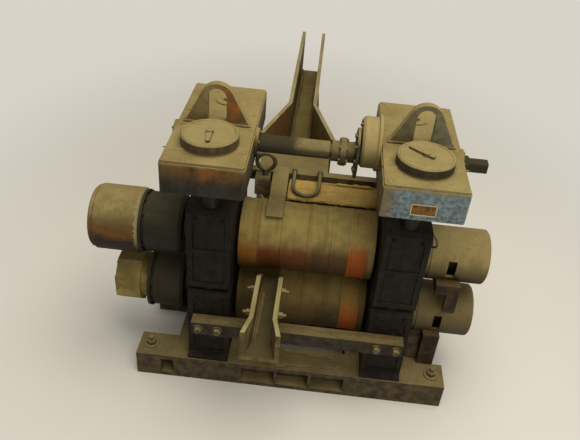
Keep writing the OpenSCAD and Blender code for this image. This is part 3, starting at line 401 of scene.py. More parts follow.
mottle = f.noise(0.020, 6, 31, rough=0.68)
cloud = f.noise(0.10, 5, 33)
coat = f.mix(f.rise(mottle, 0.36, 0.62), (76, 90, 98), (112, 128, 132))
coat = f.cover(coat, f.rise(cloud, 0.50, 0.66), 0.40, (106, 100, 76))
coat = f.cover(coat, f.rise(mottle, 0.62, 0.72), 0.7, (150, 150, 132))
low_down = f.times(f.rise(f.z, 1.40, CAP_FOOT), 0.10)
chips = f.rise(f.plus(f.noise(0.016, 5, 36, rough=0.6), low_down), 0.60, 0.66)
coat = f.cover(coat, chips, 0.60, (60, 56, 44))
coat = f.cover(coat, f.patches(0.035, 6, 37, 0.62, 0.72), 0.45, (96, 70, 40))
strip = f.rise(f.plus(f.x, f.sway(cloud, 0.10)), 0.375, 0.325)
coat = f.cover(coat, strip, 0.8, (112, 88, 50))
inner_side = f.rise(f.facing[0], -0.5, -0.8)
coat = f.mix(inner_side, coat, f.mix(mottle, (44, 36, 24), (88, 68, 42)))
coat = edge_cling(f, coat, 0.022, 39, (128, 114, 76))
colour, heap, fine = lay_dust(f, coat, 0.45, 0.9, 0.35, 31)
rough = f.blend(heap, f.blend(chips, 0.45, 0.85), 0.95)
f.done(colour, rough, f.plus(fine, f.times(chips, -1.0)))
print("right cap done, its foot at", round(CAP_FOOT, 3))

# %% [markdown]
# ## The left screwdown cap
#
# The left cap has lost its paint: its front is nearly black, with a brown band and orange
# rust that run down from the top edge. The band's lower end is ragged, because noise that is
# stretched along Z is added to the height before the step.

# %% Left cap
f = Finish("cap left")
mottle = f.noise(0.024, 6, 35, rough=0.65)
runs = f.noise(0.06, 6, 38, stretch=(1, 1, 0.35))
height = f.plus(f.z, f.sway(runs, 0.07))
ground = f.mix(f.rise(mottle, 0.35, 0.7), (20, 18, 14), (36, 33, 26))
ground = f.cover(ground, f.patches(0.07, 4, 36, 0.48, 0.64), 0.4, (46, 48, 44))
band = f.times(f.rise(height, 1.375, CAP_EDGE), f.rise(runs, 0.22, 0.60))
ground = f.mix(band, ground, (88, 68, 30))
hot = f.times(f.rise(height, 1.395, 1.480), f.between(f.x, -0.590, -0.380, 0.07),
              f.rise(f.facing[1], -0.5, -0.8), f.patches(0.05, 5, 40, 0.28, 0.66))
ground = f.cover(ground, hot, 0.75, (130, 70, 20))
ground = edge_cling(f, ground, 0.016, 43, (120, 104, 66))
colour, heap, fine = lay_dust(f, ground, 0.45, 0.9, 0.15, 35)
rough = f.blend(heap, f.blend(mottle, 0.42, 0.75), 0.95)
f.done(colour, rough, f.plus(fine, mottle))
print("left cap done")

# %% [markdown]
# ## Lugs and dials
#
# The lifting lugs are plates burnt out of thick steel. The left one glows with rust on one
# side, the right one is grey-brown, and both have a pale dusty rim. The dials are the round
# covers over the front screws: pale on top, dark on their sides, where nothing settles.

# %% Lug and dial finishes


def lug_finish(name, shift, one_side, other_side, split_x, corner_x):
    """Two grounds that meet at a ragged line across X, with dust on the rim.

    Beyond a sloping line at corner_x the plate is dark and greenish, and its foot is dusty.
    """
    f = Finish(name)
    cloud = f.noise(0.05, 6, shift, warp=0.5)
    ragged = f.sway(cloud, 0.16)
    browns = f.rise(cloud, 0.35, 0.65)
    ground = f.mix(f.rise(f.plus(f.x, ragged), split_x - 0.035, split_x + 0.035),
                   f.mix(browns, *one_side), f.mix(browns, *other_side))
    slope = f.plus(f.x, f.times(f.z, -0.9), f.times(ragged, 0.7))
    corner = f.rise(slope, corner_x - 1.42, corner_x - 1.35)
    ground = f.cover(ground, corner, 0.75, (62, 62, 44))
    foot = f.rise(f.plus(f.z, f.times(ragged, 0.5)), 1.530, 1.503)
    ground = f.cover(ground, foot, 0.7, DUST_DEEP)
    colour, heap, fine = lay_dust(f, ground, 0.10, 0.45, 0.35, shift)
    f.done(colour, f.blend(heap, 0.62, 0.95), f.plus(fine, cloud), gloss=0.3)


def dial_finish(name, shift, side_dark, side_light):
    """Pale dust on the sunk top, a dark side with a few rubbed patches, dust at its foot."""
    f = Finish(name)
    rubbed = f.noise(0.035, 5, shift, stretch=(1, 1, 0.6))
    ground = f.mix(f.rise(rubbed, 0.40, 0.66), side_dark, side_light)
    foot = f.rise(f.plus(f.z, f.times(rubbed, 0.012)), 1.520, 1.506)
    ground = f.cover(ground, foot, 0.8, DUST_DEEP)
    colour, heap, fine = lay_dust(f, ground, 0.45, 0.80, 0.12, shift, (142, 127, 82),
                                  (126, 111, 68))
    f.done(colour, f.blend(heap, 0.5, 0.95), fine, depth=0.0012)


lug_finish("lifting lug left", 41, ((104, 84, 46), (124, 108, 66)), ((104, 70, 32), (140, 84, 32)),
           -0.475, -0.405)
lug_finish("lifting lug right", 44, ((82, 76, 52), (104, 96, 64)), ((92, 88, 66), (112, 106, 84)),
           0.545, 0.70)
dial_finish("dial left", 47, (62, 54, 36), (84, 73, 49))
dial_finish("dial right", 49, (40, 37, 27), (58, 52, 37))
print("lugs and dials done")

# %% [markdown]
# ## Couplings, covers and shafts
#
# These all turn or lie along X. Dust lies on their upper half and their undersides are
# painted dark as shade, so the same three zones repeat: pale top, brown middle, painted shade
# below. What differs is how far down the dust reaches, and one function takes that as its
# numbers. A row of the table gives them in the function's order.

# %% Round pieces along X


def round_finish(name, shift, top, middle, low, reach, thick, painted_shade_from=-0.15, painted_shade_to=-0.75,
                 rust=0.0, oily_to=None, crust_from=None):
    """Pale above, middle brown at the sides and painted shade below, by the surface's upward part.

    Left of X = oily_to, and on the squared end, the piece is smeared dark; from X =
    crust_from on it is caked pale.
    """
    f = Finish(name)
    cloud = f.noise(0.07, 6, shift, warp=0.3)
    rings = f.noise(0.012, 4, shift + 2, stretch=(1, 0.05, 0.05))
    tilt = f.plus(f.facing[2], f.sway(cloud, 0.9))
    colour = f.mix(0.45, f.mix(f.rise(cloud, 0.3, 0.7), middle, low), middle)
    orange = f.times(f.between(tilt, -0.14, 0.32, 0.24), f.patches(0.06, 5, shift + 4, 0.25, 0.60))
    colour = f.cover(colour, orange, rust, (108, 68, 24))
    # Painted shade: faces that look down go over to the dark colour, between the two given tilts.
    colour = f.mix(f.rise(tilt, painted_shade_from, painted_shade_to), colour, low)
    colour = f.cover(colour, f.rise(rings, 0.58, 0.76), 0.25, low)
    fine = f.noise(0.010, 6, shift + 6)
    powder = f.rise(tilt, reach, thick)
    dust = f.mix(f.rise(f.blend(0.5, cloud, fine), 0.35, 0.62), f.mix(0.35, top, middle), top)
    colour = f.mix(powder, colour, dust)
    smudge = f.patches(0.03, 5, shift + 8, 0.60, 0.74, warp=0.5)
    colour = f.cover(colour, smudge, 0.4, f.mix(0.5, middle, low))
    ragged_x = f.plus(f.x, f.sway(f.noise(0.018, 3, shift + 9), 0.05))
    if oily_to is not None:
        smear = f.math("MAXIMUM", f.rise(ragged_x, oily_to + 0.03, oily_to - 0.03),
                       f.rise(f.x, 0.70, 0.72))
        colour = f.cover(colour, smear, 0.86, low)
    if crust_from is not None:
        caked = f.times(f.rise(ragged_x, crust_from, crust_from + 0.006),
                        f.rise(f.facing[2], -0.5, 0.1))
        colour = f.cover(colour, caked, 0.75, (150, 138, 98))
    rough = f.blend(powder, f.blend(cloud, 0.45, 0.70), 0.93)
    f.done(colour, rough, f.plus(fine, f.times(rings, 0.5)), depth=0.0013)


ROUND = (
    ("upper coupling sleeve", 61, (140, 122, 76), (88, 72, 36), (32, 23, 12), 0.24, 0.95,
     0.16, -0.24, 0.8, None, -0.918),
    ("upper coupling hub", 63, (66, 60, 41), (34, 31, 21), (18, 16, 11), 0.30, 1.0),
    ("lower coupling sleeve", 65, (104, 91, 50), (136, 119, 62), (36, 30, 18), 0.55, 0.95, -0.35),
    ("lower coupling hub", 67, (64, 56, 36), (40, 34, 21), (20, 17, 11), 0.4, 1.1),
    ("upper end cover", 71, (134, 118, 75), (92, 79, 47), (34, 29, 18), -0.25, 0.60, -0.10, -0.55),
    ("lower end cover", 73, (108, 95, 60), (80, 69, 43), (34, 29, 19), -0.3, 0.60),
    ("cross shaft", 75, (122, 108, 67), (70, 58, 34), (32, 30, 20), -0.05, 0.60,
     -0.15, -0.75, 0.0, -0.10),
    ("shaft sleeve", 77, (112, 98, 60), (72, 60, 36), (34, 28, 18), 0.1, 0.75),
    ("clutch drum", 79, (148, 131, 86), (128, 112, 70), (76, 64, 40), -0.7, 0.2, -0.5, -1.0),
)
for row in ROUND:
    round_finish(*row)
print("round pieces done")

# %% [markdown]
# ## Columns
#
# The columns are drawn steel with a thread at the top. Between the chocks and the caps they
# are smeared with oil, and their near black is partly painted shade, for the shade of that
# place. The thread is a fine saw of height against Z in the bump alone: at this distance it
# needs no geometry.

# %% Column finish
THREAD_PITCH = 0.006
f = Finish("columns")
smear = f.noise(0.03, 6, 83, stretch=(1, 1, 0.3))
# Painted shade: a near-black ground, oil darkened further as the shade between chocks and caps.
ground = f.mix(f.rise(smear, 0.35, 0.7), (15, 13, 9), (34, 29, 20))
colour, heap, fine = lay_dust(f, ground, 0.4, 0.9, 0.12, 83, (108, 95, 62), (78, 67, 43))
saw = f.math("FRACT", f.times(f.z, 1 / THREAD_PITCH), 0.0)
ridge = f.math("ABSOLUTE", f.math("SUBTRACT", saw, 0.5), 0.0)
f.done(colour, f.blend(heap, 0.42, 0.95), ridge, depth=0.0025)
print("columns done")

# %% [markdown]
# ## The bar, the guard and the smaller pieces
#
# Behind the upper roll a bar carries a tab, a guard plate and a bent spray pipe. The guard
# catches all that falls and is buried in dust, and that dust is painted paler than any other
# as painted light, against the shade that the caps cast on it. These pieces, the keepers, the
# rest bars and the base take the usual finish with other numbers, in the order of
# dusty_finish: light and dark ground, place in the noise, the tilt where dust begins and
# where it is full, the veil on the sides, and pale and deep dust where they differ.

# %% Usual finish, other numbers
DUSTY = (
    ("hands", (90, 80, 54), (52, 46, 32), 51, 0.4, 0.8, 0.1),
    ("clutch flange", (50, 44, 30), (28, 25, 19), 81, 0.6, 1.0, 0.2),
    # Painted light: the guard's pale and deep dust are lightened against the caps' shade on it.
    ("roll guard", (112, 90, 46), (76, 58, 30), 91, -0.2, 0.6, 0.6, (176, 146, 80), (142, 114, 58)),
    ("roll tab", (98, 84, 52), (60, 50, 32), 93, 0.0, 0.7, 0.5, (124, 110, 70), (104, 90, 54)),
    ("spray pipe", (66, 64, 44), (38, 37, 27), 97, 0.1, 0.9, 0.2, (112, 102, 68), (86, 78, 50)),
    ("back cross bar", (84, 72, 42), (40, 34, 22), 99, 0.3, 0.9, 0.3, (122, 107, 67), (98, 84, 49)),
    ("keepers", (56, 40, 24), (27, 20, 13), 101, 0.5, 1.0, 0.15, (98, 82, 50), (74, 60, 35)),
    ("base frame", (76, 64, 42), (40, 34, 24), 105, 0.4, 0.9, 0.35, (128, 112, 74), (98, 85, 54)),
    ("rest bars", (46, 39, 26), (25, 21, 15), 107, 0.45, 0.85, 0.2, (118, 103, 66), (92, 79, 49)),
    ("trestles", (88, 62, 36), (46, 34, 22), 109, 0.4, 0.9),
    ("exit guide box", (96, 80, 46), (62, 50, 30), 113, 0.35, 0.85, 0.4, (120, 106, 66),
     (100, 86, 51)),
)
for row in DUSTY:
    dusty_finish(*row)
print("finishes so far:", len(LOOKS))

# %% [markdown]
# ## The clamp, the entry guide and the exit trough
#
# The clamp is a dusty ribbed block with an oily dark eye on top; its pale ground is lightened
# as painted light, since the block sits in shade. The guide and the trough are rusty on their
# steep sides, dusty in the channel and worn pale along their lips, where hands and bars rub.
# The trough's flare has the most rust of all.

# %% Clamp, guide and trough


def worn_lip(f, colour, lip_z, shift):
    """Pale bare metal on the faces that look up above lip_z."""
    lip = f.times(f.rise(f.z, lip_z - 0.004, lip_z), f.rise(f.facing[2], 0.3, 0.8))
    streaks = f.patches(0.05, 5, shift, 0.32, 0.68, stretch=(1, 0.3, 1))
    return f.mix(lip, colour, f.mix(streaks, (126, 112, 73), (148, 135, 94)))


f = Finish("bar clamp")
# Painted light: the clamp's ground is lightened to make up for the shade it stands in.
ground = rusted(f, (140, 126, 84), (84, 75, 48), 95)
ground = f.cover(ground, f.rise(f.z, 1.072, 1.084), 0.85, (42, 38, 24))
colour, heap, fine = lay_dust(f, ground, 0.3, 1.0, 0.25, 95, (132, 117, 76), (108, 94, 58))
f.done(colour, f.blend(heap, 0.6, 0.95), fine)

f = Finish("entry guide")
ground = rusted(f, (110, 95, 56), (64, 52, 30), 103)
colour, heap, fine = lay_dust(f, ground, 0.55, 0.95, 0.45, 103, (86, 75, 46), (70, 60, 36))
f.done(worn_lip(f, colour, 0.75, 108), f.blend(heap, 0.6, 0.93), fine)

f = Finish("exit trough")
cloud = f.noise(0.10, 6, 111, warp=0.4)
runs = f.noise(0.05, 5, 112, stretch=(1, 1, 0.25))
ground = f.mix(f.rise(cloud, 0.35, 0.65), (74, 60, 33), (104, 84, 46))
ground = f.cover(ground, f.rise(runs, 0.54, 0.70), 0.5, (92, 62, 32))
flare = f.times(f.rise(f.x, -0.16, -0.26), f.rise(f.y, 1.45, 1.20), f.rise(runs, 0.38, 0.56))
ground = f.cover(ground, flare, 0.8, (122, 74, 34))
ground = f.cover(ground, f.patches(0.06, 5, 114, 0.40, 0.66), 0.5, (106, 92, 56))
colour, heap, fine = lay_dust(f, ground, 0.5, 0.9, 0.2, 111, (140, 122, 72), (116, 99, 55))
f.done(worn_lip(f, colour, 0.998, 116), f.blend(heap, 0.6, 0.93), f.plus(fine, cloud),
       depth=0.0018)
print("clamp, guide and trough done")

# %% [markdown]
# ## Finishes onto the solids
#
# Each solid takes one finish. Most finishes above have the name of the solid that wears
# them. The others are shared, and a short table says which word in a solid's name stands for
# which of them. The finishes could be picked by hand in the material tab too, but here a new
# one is one line.

# %% Assign to the CAD nodes
SHARED = {"chock": "greasy casting", "column": "columns", "pointer": "hands",
          "keeper": "keepers", "rest_bar": "rest bars", "end_pedestal": "base frame",
          "exit_trough_stand": "trestles"}
for name, node in frame["nodes"].items():
    shared = [look for word, look in SHARED.items() if word in name]
    node.data.materials.clear()
    node.data.materials.append(LOOKS[shared[0] if shared else name.replace("_", " ")])
print("finished nodes:", len(frame["nodes"]))

# %% [markdown]
# ## Tools for small parts
#
# Two shapes make nearly all the small parts. A turned shape is a profile of radius against
# height carried round an axis: with six sides it is a nut, with twenty or so a washer. A
# drawn shape is a ring carried along a path: a weld bead, a pipe or a drift of dust. Many
# nuts of one kind are one mesh, worked out as one array. Modifiers such as Screw could make
# them too, but arrays place a hundred of them at once.

# %% Turned and drawn shapes
AXES = {
    "+x": ((0, 1, 0), (0, 0, 1), (1, 0, 0)), "-x": ((0, 0, 1), (0, 1, 0), (-1, 0, 0)),
    "+y": ((0, 0, 1), (1, 0, 0), (0, 1, 0)), "-y": ((1, 0, 0), (0, 0, 1), (0, -1, 0)),
    "+z": ((1, 0, 0), (0, 1, 0), (0, 0, 1)),
}
FACES_MADE = {}


def mesh_object(name, points, faces, look, sharp=35):
    """An object at the origin from points and faces, smooth but for edges over sharp degrees."""
    mesh = bpy.data.meshes.new(name)
    mesh.from_pydata(np.asarray(points).reshape(-1, 3).tolist(), [], faces)
    mesh.polygons.foreach_set("use_smooth", np.ones(len(mesh.polygons), dtype=bool))
    mesh.set_sharp_from_angle(angle=math.radians(sharp))
    mesh.materials.append(LOOKS[look])
    made = bpy.data.objects.new(name, mesh)
    bpy.context.scene.collection.objects.link(made)
    FACES_MADE[name] = len(mesh.polygons)
    return made


def carry(piece, body):
    """Says which body a piece rides on."""
    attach(piece, body)


def ring_faces(copies, rings, sides):
    """Quads between the rings of each copy, and a flat face over its first and last ring."""
    index = np.arange(copies * rings * sides).reshape(copies, rings, sides)
    after = np.roll(index, -1, axis=2)
    quads = np.stack([index[:, :-1], after[:, :-1], after[:, 1:], index[:, 1:]], axis=-1)
    ends = index[:, 0, ::-1].tolist() + index[:, -1].tolist()
    return quads.reshape(-1, 4).tolist() + ends


def grid_faces(index):
    """One quad for each cell of a grid whose points have the numbers in index."""
    cells = np.stack([index[:-1, :-1], index[1:, :-1], index[1:, 1:], index[:-1, 1:]], axis=-1)
    return cells.reshape(-1, 4).tolist()


def circle(axis, count, start):
    """Points (cos a, sin a) in an axis's cross plane, evenly spread from the angle start on."""
    across, upward, _ = (np.array(v, float) for v in AXES[axis])
    angle = start + np.arange(count) * 2 * np.pi / count
    return np.cos(angle)[:, None] * across + np.sin(angle)[:, None] * upward


def turned(name, profile, places, axis, body, turn=0.0, sides=6, look="small fittings",
           sharp=35):
    """Place + radius times a circle square to the axis + height along the axis.

    profile lists (radius, height) from foot to head; each place gets one closed copy.
    """
    radius, height = np.array(profile, float).T[:, :, None, None]
    shape = radius * circle(axis, sides, turn) + height * np.array(AXES[axis][2], float)
    points = np.array(places, float)[:, None, None, :] + shape
    faces = ring_faces(len(points), len(profile), sides)
    carry(mesh_object(name, points, faces, look, sharp), body)


def drawn(name, path, width, height, sides, look, body, flat_foot=1.0, sharp=80):
    """Path + width cos(a) sideways + height sin(a) upward, one ring at each path point.

    Sideways is up crossed with the path's direction; flat_foot scales the lower half.
    """
    way = np.gradient(path, axis=0)
    way /= np.linalg.norm(way, axis=1, keepdims=True)
    side = np.cross([0.0, 0.0, 1.0], way)
    side /= np.linalg.norm(side, axis=1, keepdims=True)
    rise = np.cross(way, side)
    angle = np.arange(sides) * 2 * np.pi / sides
    lift = np.where(np.sin(angle) > 0, np.sin(angle), np.sin(angle) * flat_foot)
    width, height = (np.broadcast_to(v, len(path))[:, None, None] for v in (width, height))
    points = (path[:, None] + width * np.cos(angle)[:, None] * side[:, None]
              + height * lift[:, None] * rise[:, None])
    carry(mesh_object(name, points, ring_faces(1, len(path), sides), look, sharp), body)


def hex_head(across, height, foot=0.0):
    """The profile of a hexagon head above foot, from its foot to its chamfered top edge."""
    r = across / math.sqrt(3)
    head = [(r, 0), (r, height * 0.82), (r * 0.90, height), (r * 0.45, height)]
    return [(radius, foot + up) for radius, up in head]


def bolt_ring(name, size, x, line, radius, count, start, axis, body, turn=0.0,
              look="small fittings"):
    """Heads of size (across, height) spread evenly at X = x on a circle round a line (Y, Z)."""
    places = np.array([x, *line]) + radius * circle(axis, count, start)
    turned(name, hex_head(*size), places, axis, body, turn, look=look)


print("a 30 mm nut's profile:", hex_head(0.030, 0.018))

# %% [markdown]
# ## Studs on the entry guide
#
# Every flange of the real stand is bolted, and the sizes follow what each joint carries. The
# entry guide is held by four studs with 30 mm nuts on thin washers. Each kind is one turned
# shape with one list of places, so a change of the list moves all three kinds together.

# %% Entry guide studs
GUIDE_X = -0.17
WASHER_THICKNESS = 0.004
for side, way in (("left", -1), ("right", 1)):
    axis = "+x" if way > 0 else "-x"
    face_x = GUIDE_X + way * 0.068
    spots = np.array([(face_x, y, 0.752) for y in (-0.530, -0.355)])
    out = spots + (way * WASHER_THICKNESS, 0, 0)
    turned("guide_washers_" + side, [(0.020, 0), (0.021, 0.001), (0.020, WASHER_THICKNESS)],
           spots, axis, "stand", sides=20)
    turned("guide_nuts_" + side, hex_head(0.030, 0.018), out, axis, "stand", 0.3)
    turned("guide_studs_" + side, [(0.0085, 0), (0.0085, 0.032), (0.0070, 0.035), (0.003, 0.0355)],
           out, axis, "stand", sides=12)
print("guide studs:", 2 * len(spots))

# %% [markdown]
# ## Anchor nuts
#
# Four 30 mm anchor bolts come up through the ends of the sills. On each sits a thick washer,
# a nut of 50 mm across its flats and a stud's end with a chamfer. They stand on the top of
# the base, whose height is read from the solid.

# %% Anchor nuts
BASE_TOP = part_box("base_frame")[1].z
ANCHORS = [(x, y, BASE_TOP) for x in (-0.830, 0.790) for y in (-0.265, 0.265)]
turned("anchor_washers", [(0.040, 0), (0.042, 0.002), (0.040, 0.008)], ANCHORS, "+z", "stand",
       sides=24)
turned("anchor_nuts", hex_head(0.050, 0.026, foot=0.008), ANCHORS, "+z", "stand", 0.4)
turned("anchor_studs", [(0.0150, 0.008), (0.0150, 0.054), (0.0125, 0.058), (0.004, 0.0585)],
       ANCHORS, "+z", "stand", sides=16)
print("anchors:", len(ANCHORS), "at height", round(BASE_TOP, 3))

# %% [markdown]
# ## Rings of bolts
#
# The end covers and the coupling flanges are held by rings of bolts. A ring is a circle of
# places round the roll's axis, which comes from the frame's joints: centre + radius
# (cos a, sin a). It rides with the piece that it holds, so the cover's bolts stay and the
# coupling's bolts turn with the roll. An array modifier with an empty would do as well.

# %% Bolts on the end covers and couplings
LINES = {joint["child"]: joint["pos_m"][1:] for joint in frame["joints"]
         if joint["type"] == "hinge"}
COVER_FLANGE_X, COVER_END_X = 0.625, 0.961
for level, body, flange_x in (("upper", "upper_chocks", -0.883), ("lower", "stand", -0.853)):
    rolls = level + "_roll_set"
    line = LINES[rolls]
    bolt_ring(level + "_cover_bolts", (0.019, 0.012), COVER_FLANGE_X, line, 0.159, 10,
              math.radians(18), "+x", body, 0.2)
    bolt_ring(level + "_cover_end_screws", (0.017, 0.0055), COVER_END_X, line, 0.100, 6,
              math.radians(30), "+x", body, 0.5)
    turned(level + "_cover_plug", [(0.030, 0), (0.030, 0.004), (0.027, 0.0055), (0.012, 0.0057)],
           [(COVER_END_X, *line)], "+x", body, sides=24)
    bolt_ring(level + "_hub_nuts", (0.014, 0.009), flange_x, line, 0.1655, 12,
              math.radians(15), "+x", rolls, look="greasy casting")
sleeve_end_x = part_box("lower_coupling_sleeve")[0].x
bolt_ring("lower_sleeve_bolts", (0.024, 0.010), sleeve_end_x, LINES["lower_roll_set"], 0.116, 8,
          math.radians(22.5), "-x", "lower_roll_set", 0.1)
print("rings done:", len(FACES_MADE), "meshes")

# %% [markdown]
# ## Screws on caps and shafts
#
# The caps' top plates are held by small screws that the dust has nearly closed over, so they
# stand 3 mm proud with soft edges. The rings round the cross shaft, its split sleeve and the
# clutch have hexagon heads. The same turned shape makes them all with other profiles.

# %% Screws on caps, rings, rest bars and clutch
CAP_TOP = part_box("lifting_lug_left")[0].z
cap_spots = [(side * 0.5 + dx, y, CAP_TOP) for side in (-1, 1) for dx in (-0.168, 0.168)
             for y in (-0.396, -0.06, 0.10, 0.396)]
turned("cap_screws", [(0.011, 0), (0.011, 0.0012), (0.008, 0.0025), (0.003, 0.0028)],
       cap_spots, "+z", "stand", 0.0, 16, "dusted fittings", sharp=80)
plug_spots = [(side * 0.49, 0.24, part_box("cap_left")[1].z) for side in (-1, 1)]
turned("plug_heads", hex_head(0.040, 0.014), plug_spots, "+z", "stand", 0.6,
       look="dusted fittings")
drum_angle = np.radians([-8, 28, 62, 98])
drum_spots = np.stack([np.full(4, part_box("clutch_drum")[0].x), 0.022 + 0.100 * np.cos(drum_angle),
                       1.461 + 0.100 * np.sin(drum_angle)], axis=-1)
turned("clutch_screws", hex_head(0.015, 0.007), drum_spots, "-x", "stand")
shaft, step = "cross_shaft_set", math.radians(30)
for name, size, x, *ring in (
        ("ring_screws_left_out", (0.014, 0.008), -0.710, 0.0605, 6, step, "-x", "stand"),
        ("ring_screws_left_in", (0.014, 0.008), -0.290, 0.0605, 6, step, "+x", "stand"),
        ("ring_screws_right_out", (0.014, 0.008), 0.710, 0.0605, 6, step, "+x", "stand"),
        ("clutch_bolts", (0.022, 0.009), 0.190, 0.090, 8, 0.0, "-x", shaft),
        ("sleeve_nuts", (0.014, 0.009), 0.142, 0.0610, 6, 0.3, "+x", shaft),
        ("sleeve_bolts", (0.014, 0.008), 0.114, 0.0610, 6, 0.3, "-x", shaft)):
    bolt_ring(name, size, x, LINES[shaft], *ring)
for name, y, axis in (("rest_bar_bolts_front", -0.380, "-y"), ("rest_bar_bolts_back", 0.380, "+y")):
    spots = [(x, y, 0.440) for x in (-0.535, -0.430, 0.430, 0.535)]
    turned(name, [(0.030, 0), (0.030, 0.005), (0.0201, 0.0055), (0.0201, 0.022), (0.018, 0.025),
                  (0.008, 0.0252)], spots, axis, "stand", 0.2)
print("bolted parts:", len(FACES_MADE), "meshes,", sum(FACES_MADE.values()), "faces")

# %% [markdown]
# ## Weld beads
#
# The lugs, the trough and the base are welded. A bead is a half-round ridge whose width
# swells and shrinks a little with every stroke of the electrode. It is a drawn shape with a
# ripple in its width: width = mean (1 + 0.14 cos(2 pi length / pitch)).

# %% Beads
TROUGH_X = -0.13


def bead(name, start, end, width, look="rusty steel", pitch=0.009):
    """A rippled bead from start to end, tapered at both ends; its slot is its look's name."""
    length = np.linalg.norm(np.subtract(end, start))
    t = np.linspace(0, 1, max(12, int(length / pitch * 4)))
    ripple = 1 + 0.14 * np.cos(2 * np.pi * t * length / pitch)
    taper = np.clip(np.minimum(t, 1 - t) * length / width, 0.15, 1) ** 0.5
    size = width * ripple * taper
    drawn(name, np.linspace(start, end, len(t)), size, size, 8, look, "stand")


for side, way in (("left", -1), ("right", 1)):
    for face, y in (("front", -0.030), ("back", 0.010)):
        bead("lug_bead_" + face + "_" + side, (way * 0.5 - 0.168, y, CAP_TOP),
             (way * 0.5 + 0.168, y, CAP_TOP), 0.010)
    x = TROUGH_X + way * 0.073
    bead("trough_bead_" + side, (x, 1.36, 0.654), (x, 2.79, 0.654), 0.006, "dusty steel", 0.02)
    x = GUIDE_X + way * 0.046
    bead("guide_bead_" + side, (x, -0.59, 0.638), (x, -0.22, 0.638), 0.005)
bead("pedestal_bead", (0.643, -0.156, BASE_TOP), (0.643, 0.156, BASE_TOP), 0.008, "dusty steel")
print("beads done:", len(FACES_MADE), "meshes")

# %% [markdown]
# ## The bare plate on the right cap
#
# On the front of the right cap sits a small bare plate: a rusty field in a pale raised rim.
# It is drawn here as one height over a grid: 3 mm where the distance to the rectangle's edge
# is less than the rim's width, 1 mm in the field and nothing at the outer edge. The points
# stand close together at the rim alone, so that it is sharp with few of them.

# %% Bare plate
PLATE = (0.440, 0.560, 1.358, 1.420)
PLATE_BACK_Y = -0.425
f = Finish("bare plate")
cloud = f.noise(0.02, 6, 121, warp=0.5)
field = f.mix(f.rise(cloud, 0.35, 0.66), (74, 52, 27), (116, 82, 38))
rim = f.rise(f.y, PLATE_BACK_Y - 0.0018, PLATE_BACK_Y - 0.0026)
f.done(f.mix(rim, field, (160, 152, 122)), 0.85, cloud, depth=0.0012)


def reliefs(name, grids, way, look, body):
    """(X, back + way * height, Z) over each grid, closed by one flat face behind it.

    grids lists (X array, Z array, back plane's Y, height array), all of one shape.
    """
    points, faces = [], []
    for k, (x, z, back, height) in enumerate(grids):
        index = np.arange(x.size).reshape(x.shape) + k * x.size
        rim = np.concatenate([index[0, :], index[1:, -1], index[-1, -2::-1], index[-2:0:-1, 0]])
        new = grid_faces(index) + [rim.tolist()]
        faces += new if way < 0 else [face[::-1] for face in new]
        points.append(np.stack([x, back + way * height, z], axis=-1).reshape(-1, 3))
    carry(mesh_object(name, np.concatenate(points), faces, look), body)


def plate_steps(low, high, count):
    """Close steps over the rim at both ends and count even ones over the field."""
    rim_steps = np.array([0, 0.0006, 0.0012, 0.0035, 0.0060, 0.0070])
    return np.concatenate([low + rim_steps, np.linspace(low + 0.016, high - 0.016, count),
                           high - rim_steps[::-1]])


x, z = np.meshgrid(plate_steps(*PLATE[:2], 8), plate_steps(*PLATE[2:], 4), indexing="ij")
from_edge = np.minimum(np.minimum(x - PLATE[0], PLATE[1] - x),
                       np.minimum(z - PLATE[2], PLATE[3] - z))
height = np.select([from_edge <= 0.0005, from_edge < 0.0065], [0.0, 0.003], 0.001)
reliefs("bare_plate", [(x, z, PLATE_BACK_Y, height)], -1, "bare plate", "stand")
print("bare plate:", x.size, "points")

# %% [markdown]
# ## Grease caked in the chocks' pockets
#
# The chocks are cast with pockets in their faces. On the real ones grease and scale have
# filled them nearly to the rims, so that the ribs hardly show. Each filling is a relief: its
# height over the pocket's floor is a mean plus cosine waves that cross at odd angles, and it
# gets thinner within 3 mm of the pocket's edge.

# %% Caked pockets
POCKETS = {"upper_chocks": ((0.711, 0.898), (0.928, 1.115)),
           "stand": ((0.212, 0.3855), (0.4155, 0.589))}
POCKET_WIDTH, POCKET_FLOOR = 0.166, 0.296
cake_random = np.random.default_rng(19)


def cake_height(x, z, length):
    """Mean + seven waves, kept from 4 to 13 mm, and down to 0.7 of that at the edge."""
    waves = sum(cake_random.uniform(0.4, 1.0) / (1 + 0.35 * k)
                * np.cos(cake_random.uniform(-1, 1) * (k + 1) * 42 * x
                         + cake_random.uniform(-1, 1) * (k + 1) * 42 * z
                         + cake_random.uniform(0, 2 * np.pi)) for k in range(7))
    u, v = (x - x.min()) / POCKET_WIDTH, (z - z.min()) / length
    edge = np.minimum(np.minimum(u, 1 - u) * POCKET_WIDTH, np.minimum(v, 1 - v) * length)
    return np.clip(0.0095 + 0.0016 * waves, 0.004, 0.0132) * np.clip(edge / 0.003, 0.5, 1) ** 0.5


for body, spans in POCKETS.items():
    for face, way in (("front", -1), ("back", 1)):
        grids = []
        for middle in (-0.490, 0.490):
            for low_z, high_z in spans:
                half = POCKET_WIDTH / 2
                x, z = np.meshgrid(np.linspace(middle - half, middle + half, 36),
                                   np.linspace(low_z, high_z, 40), indexing="ij")
                grids.append((x, z, way * POCKET_FLOOR, cake_height(x, z, high_z - low_z)))
        reliefs("cakes_" + face + "_" + body, grids, way, "greasy casting", body)
print("pockets caked")

# %% [markdown]
# ## Heaps of dust
#
# Dust is not only a colour. It heaps against the foot of each lug and dial. A heap is a bell
# of height over a ragged ellipse: height falls as (1 - t^2)^2, where t goes from 1 at the rim
# to nearly 0 in the middle, and the rim's radius wanders with a few cosines of the angle.
# Every heap has sizes and waves of its own, drawn at random from a fixed seed.

# %% Heaps


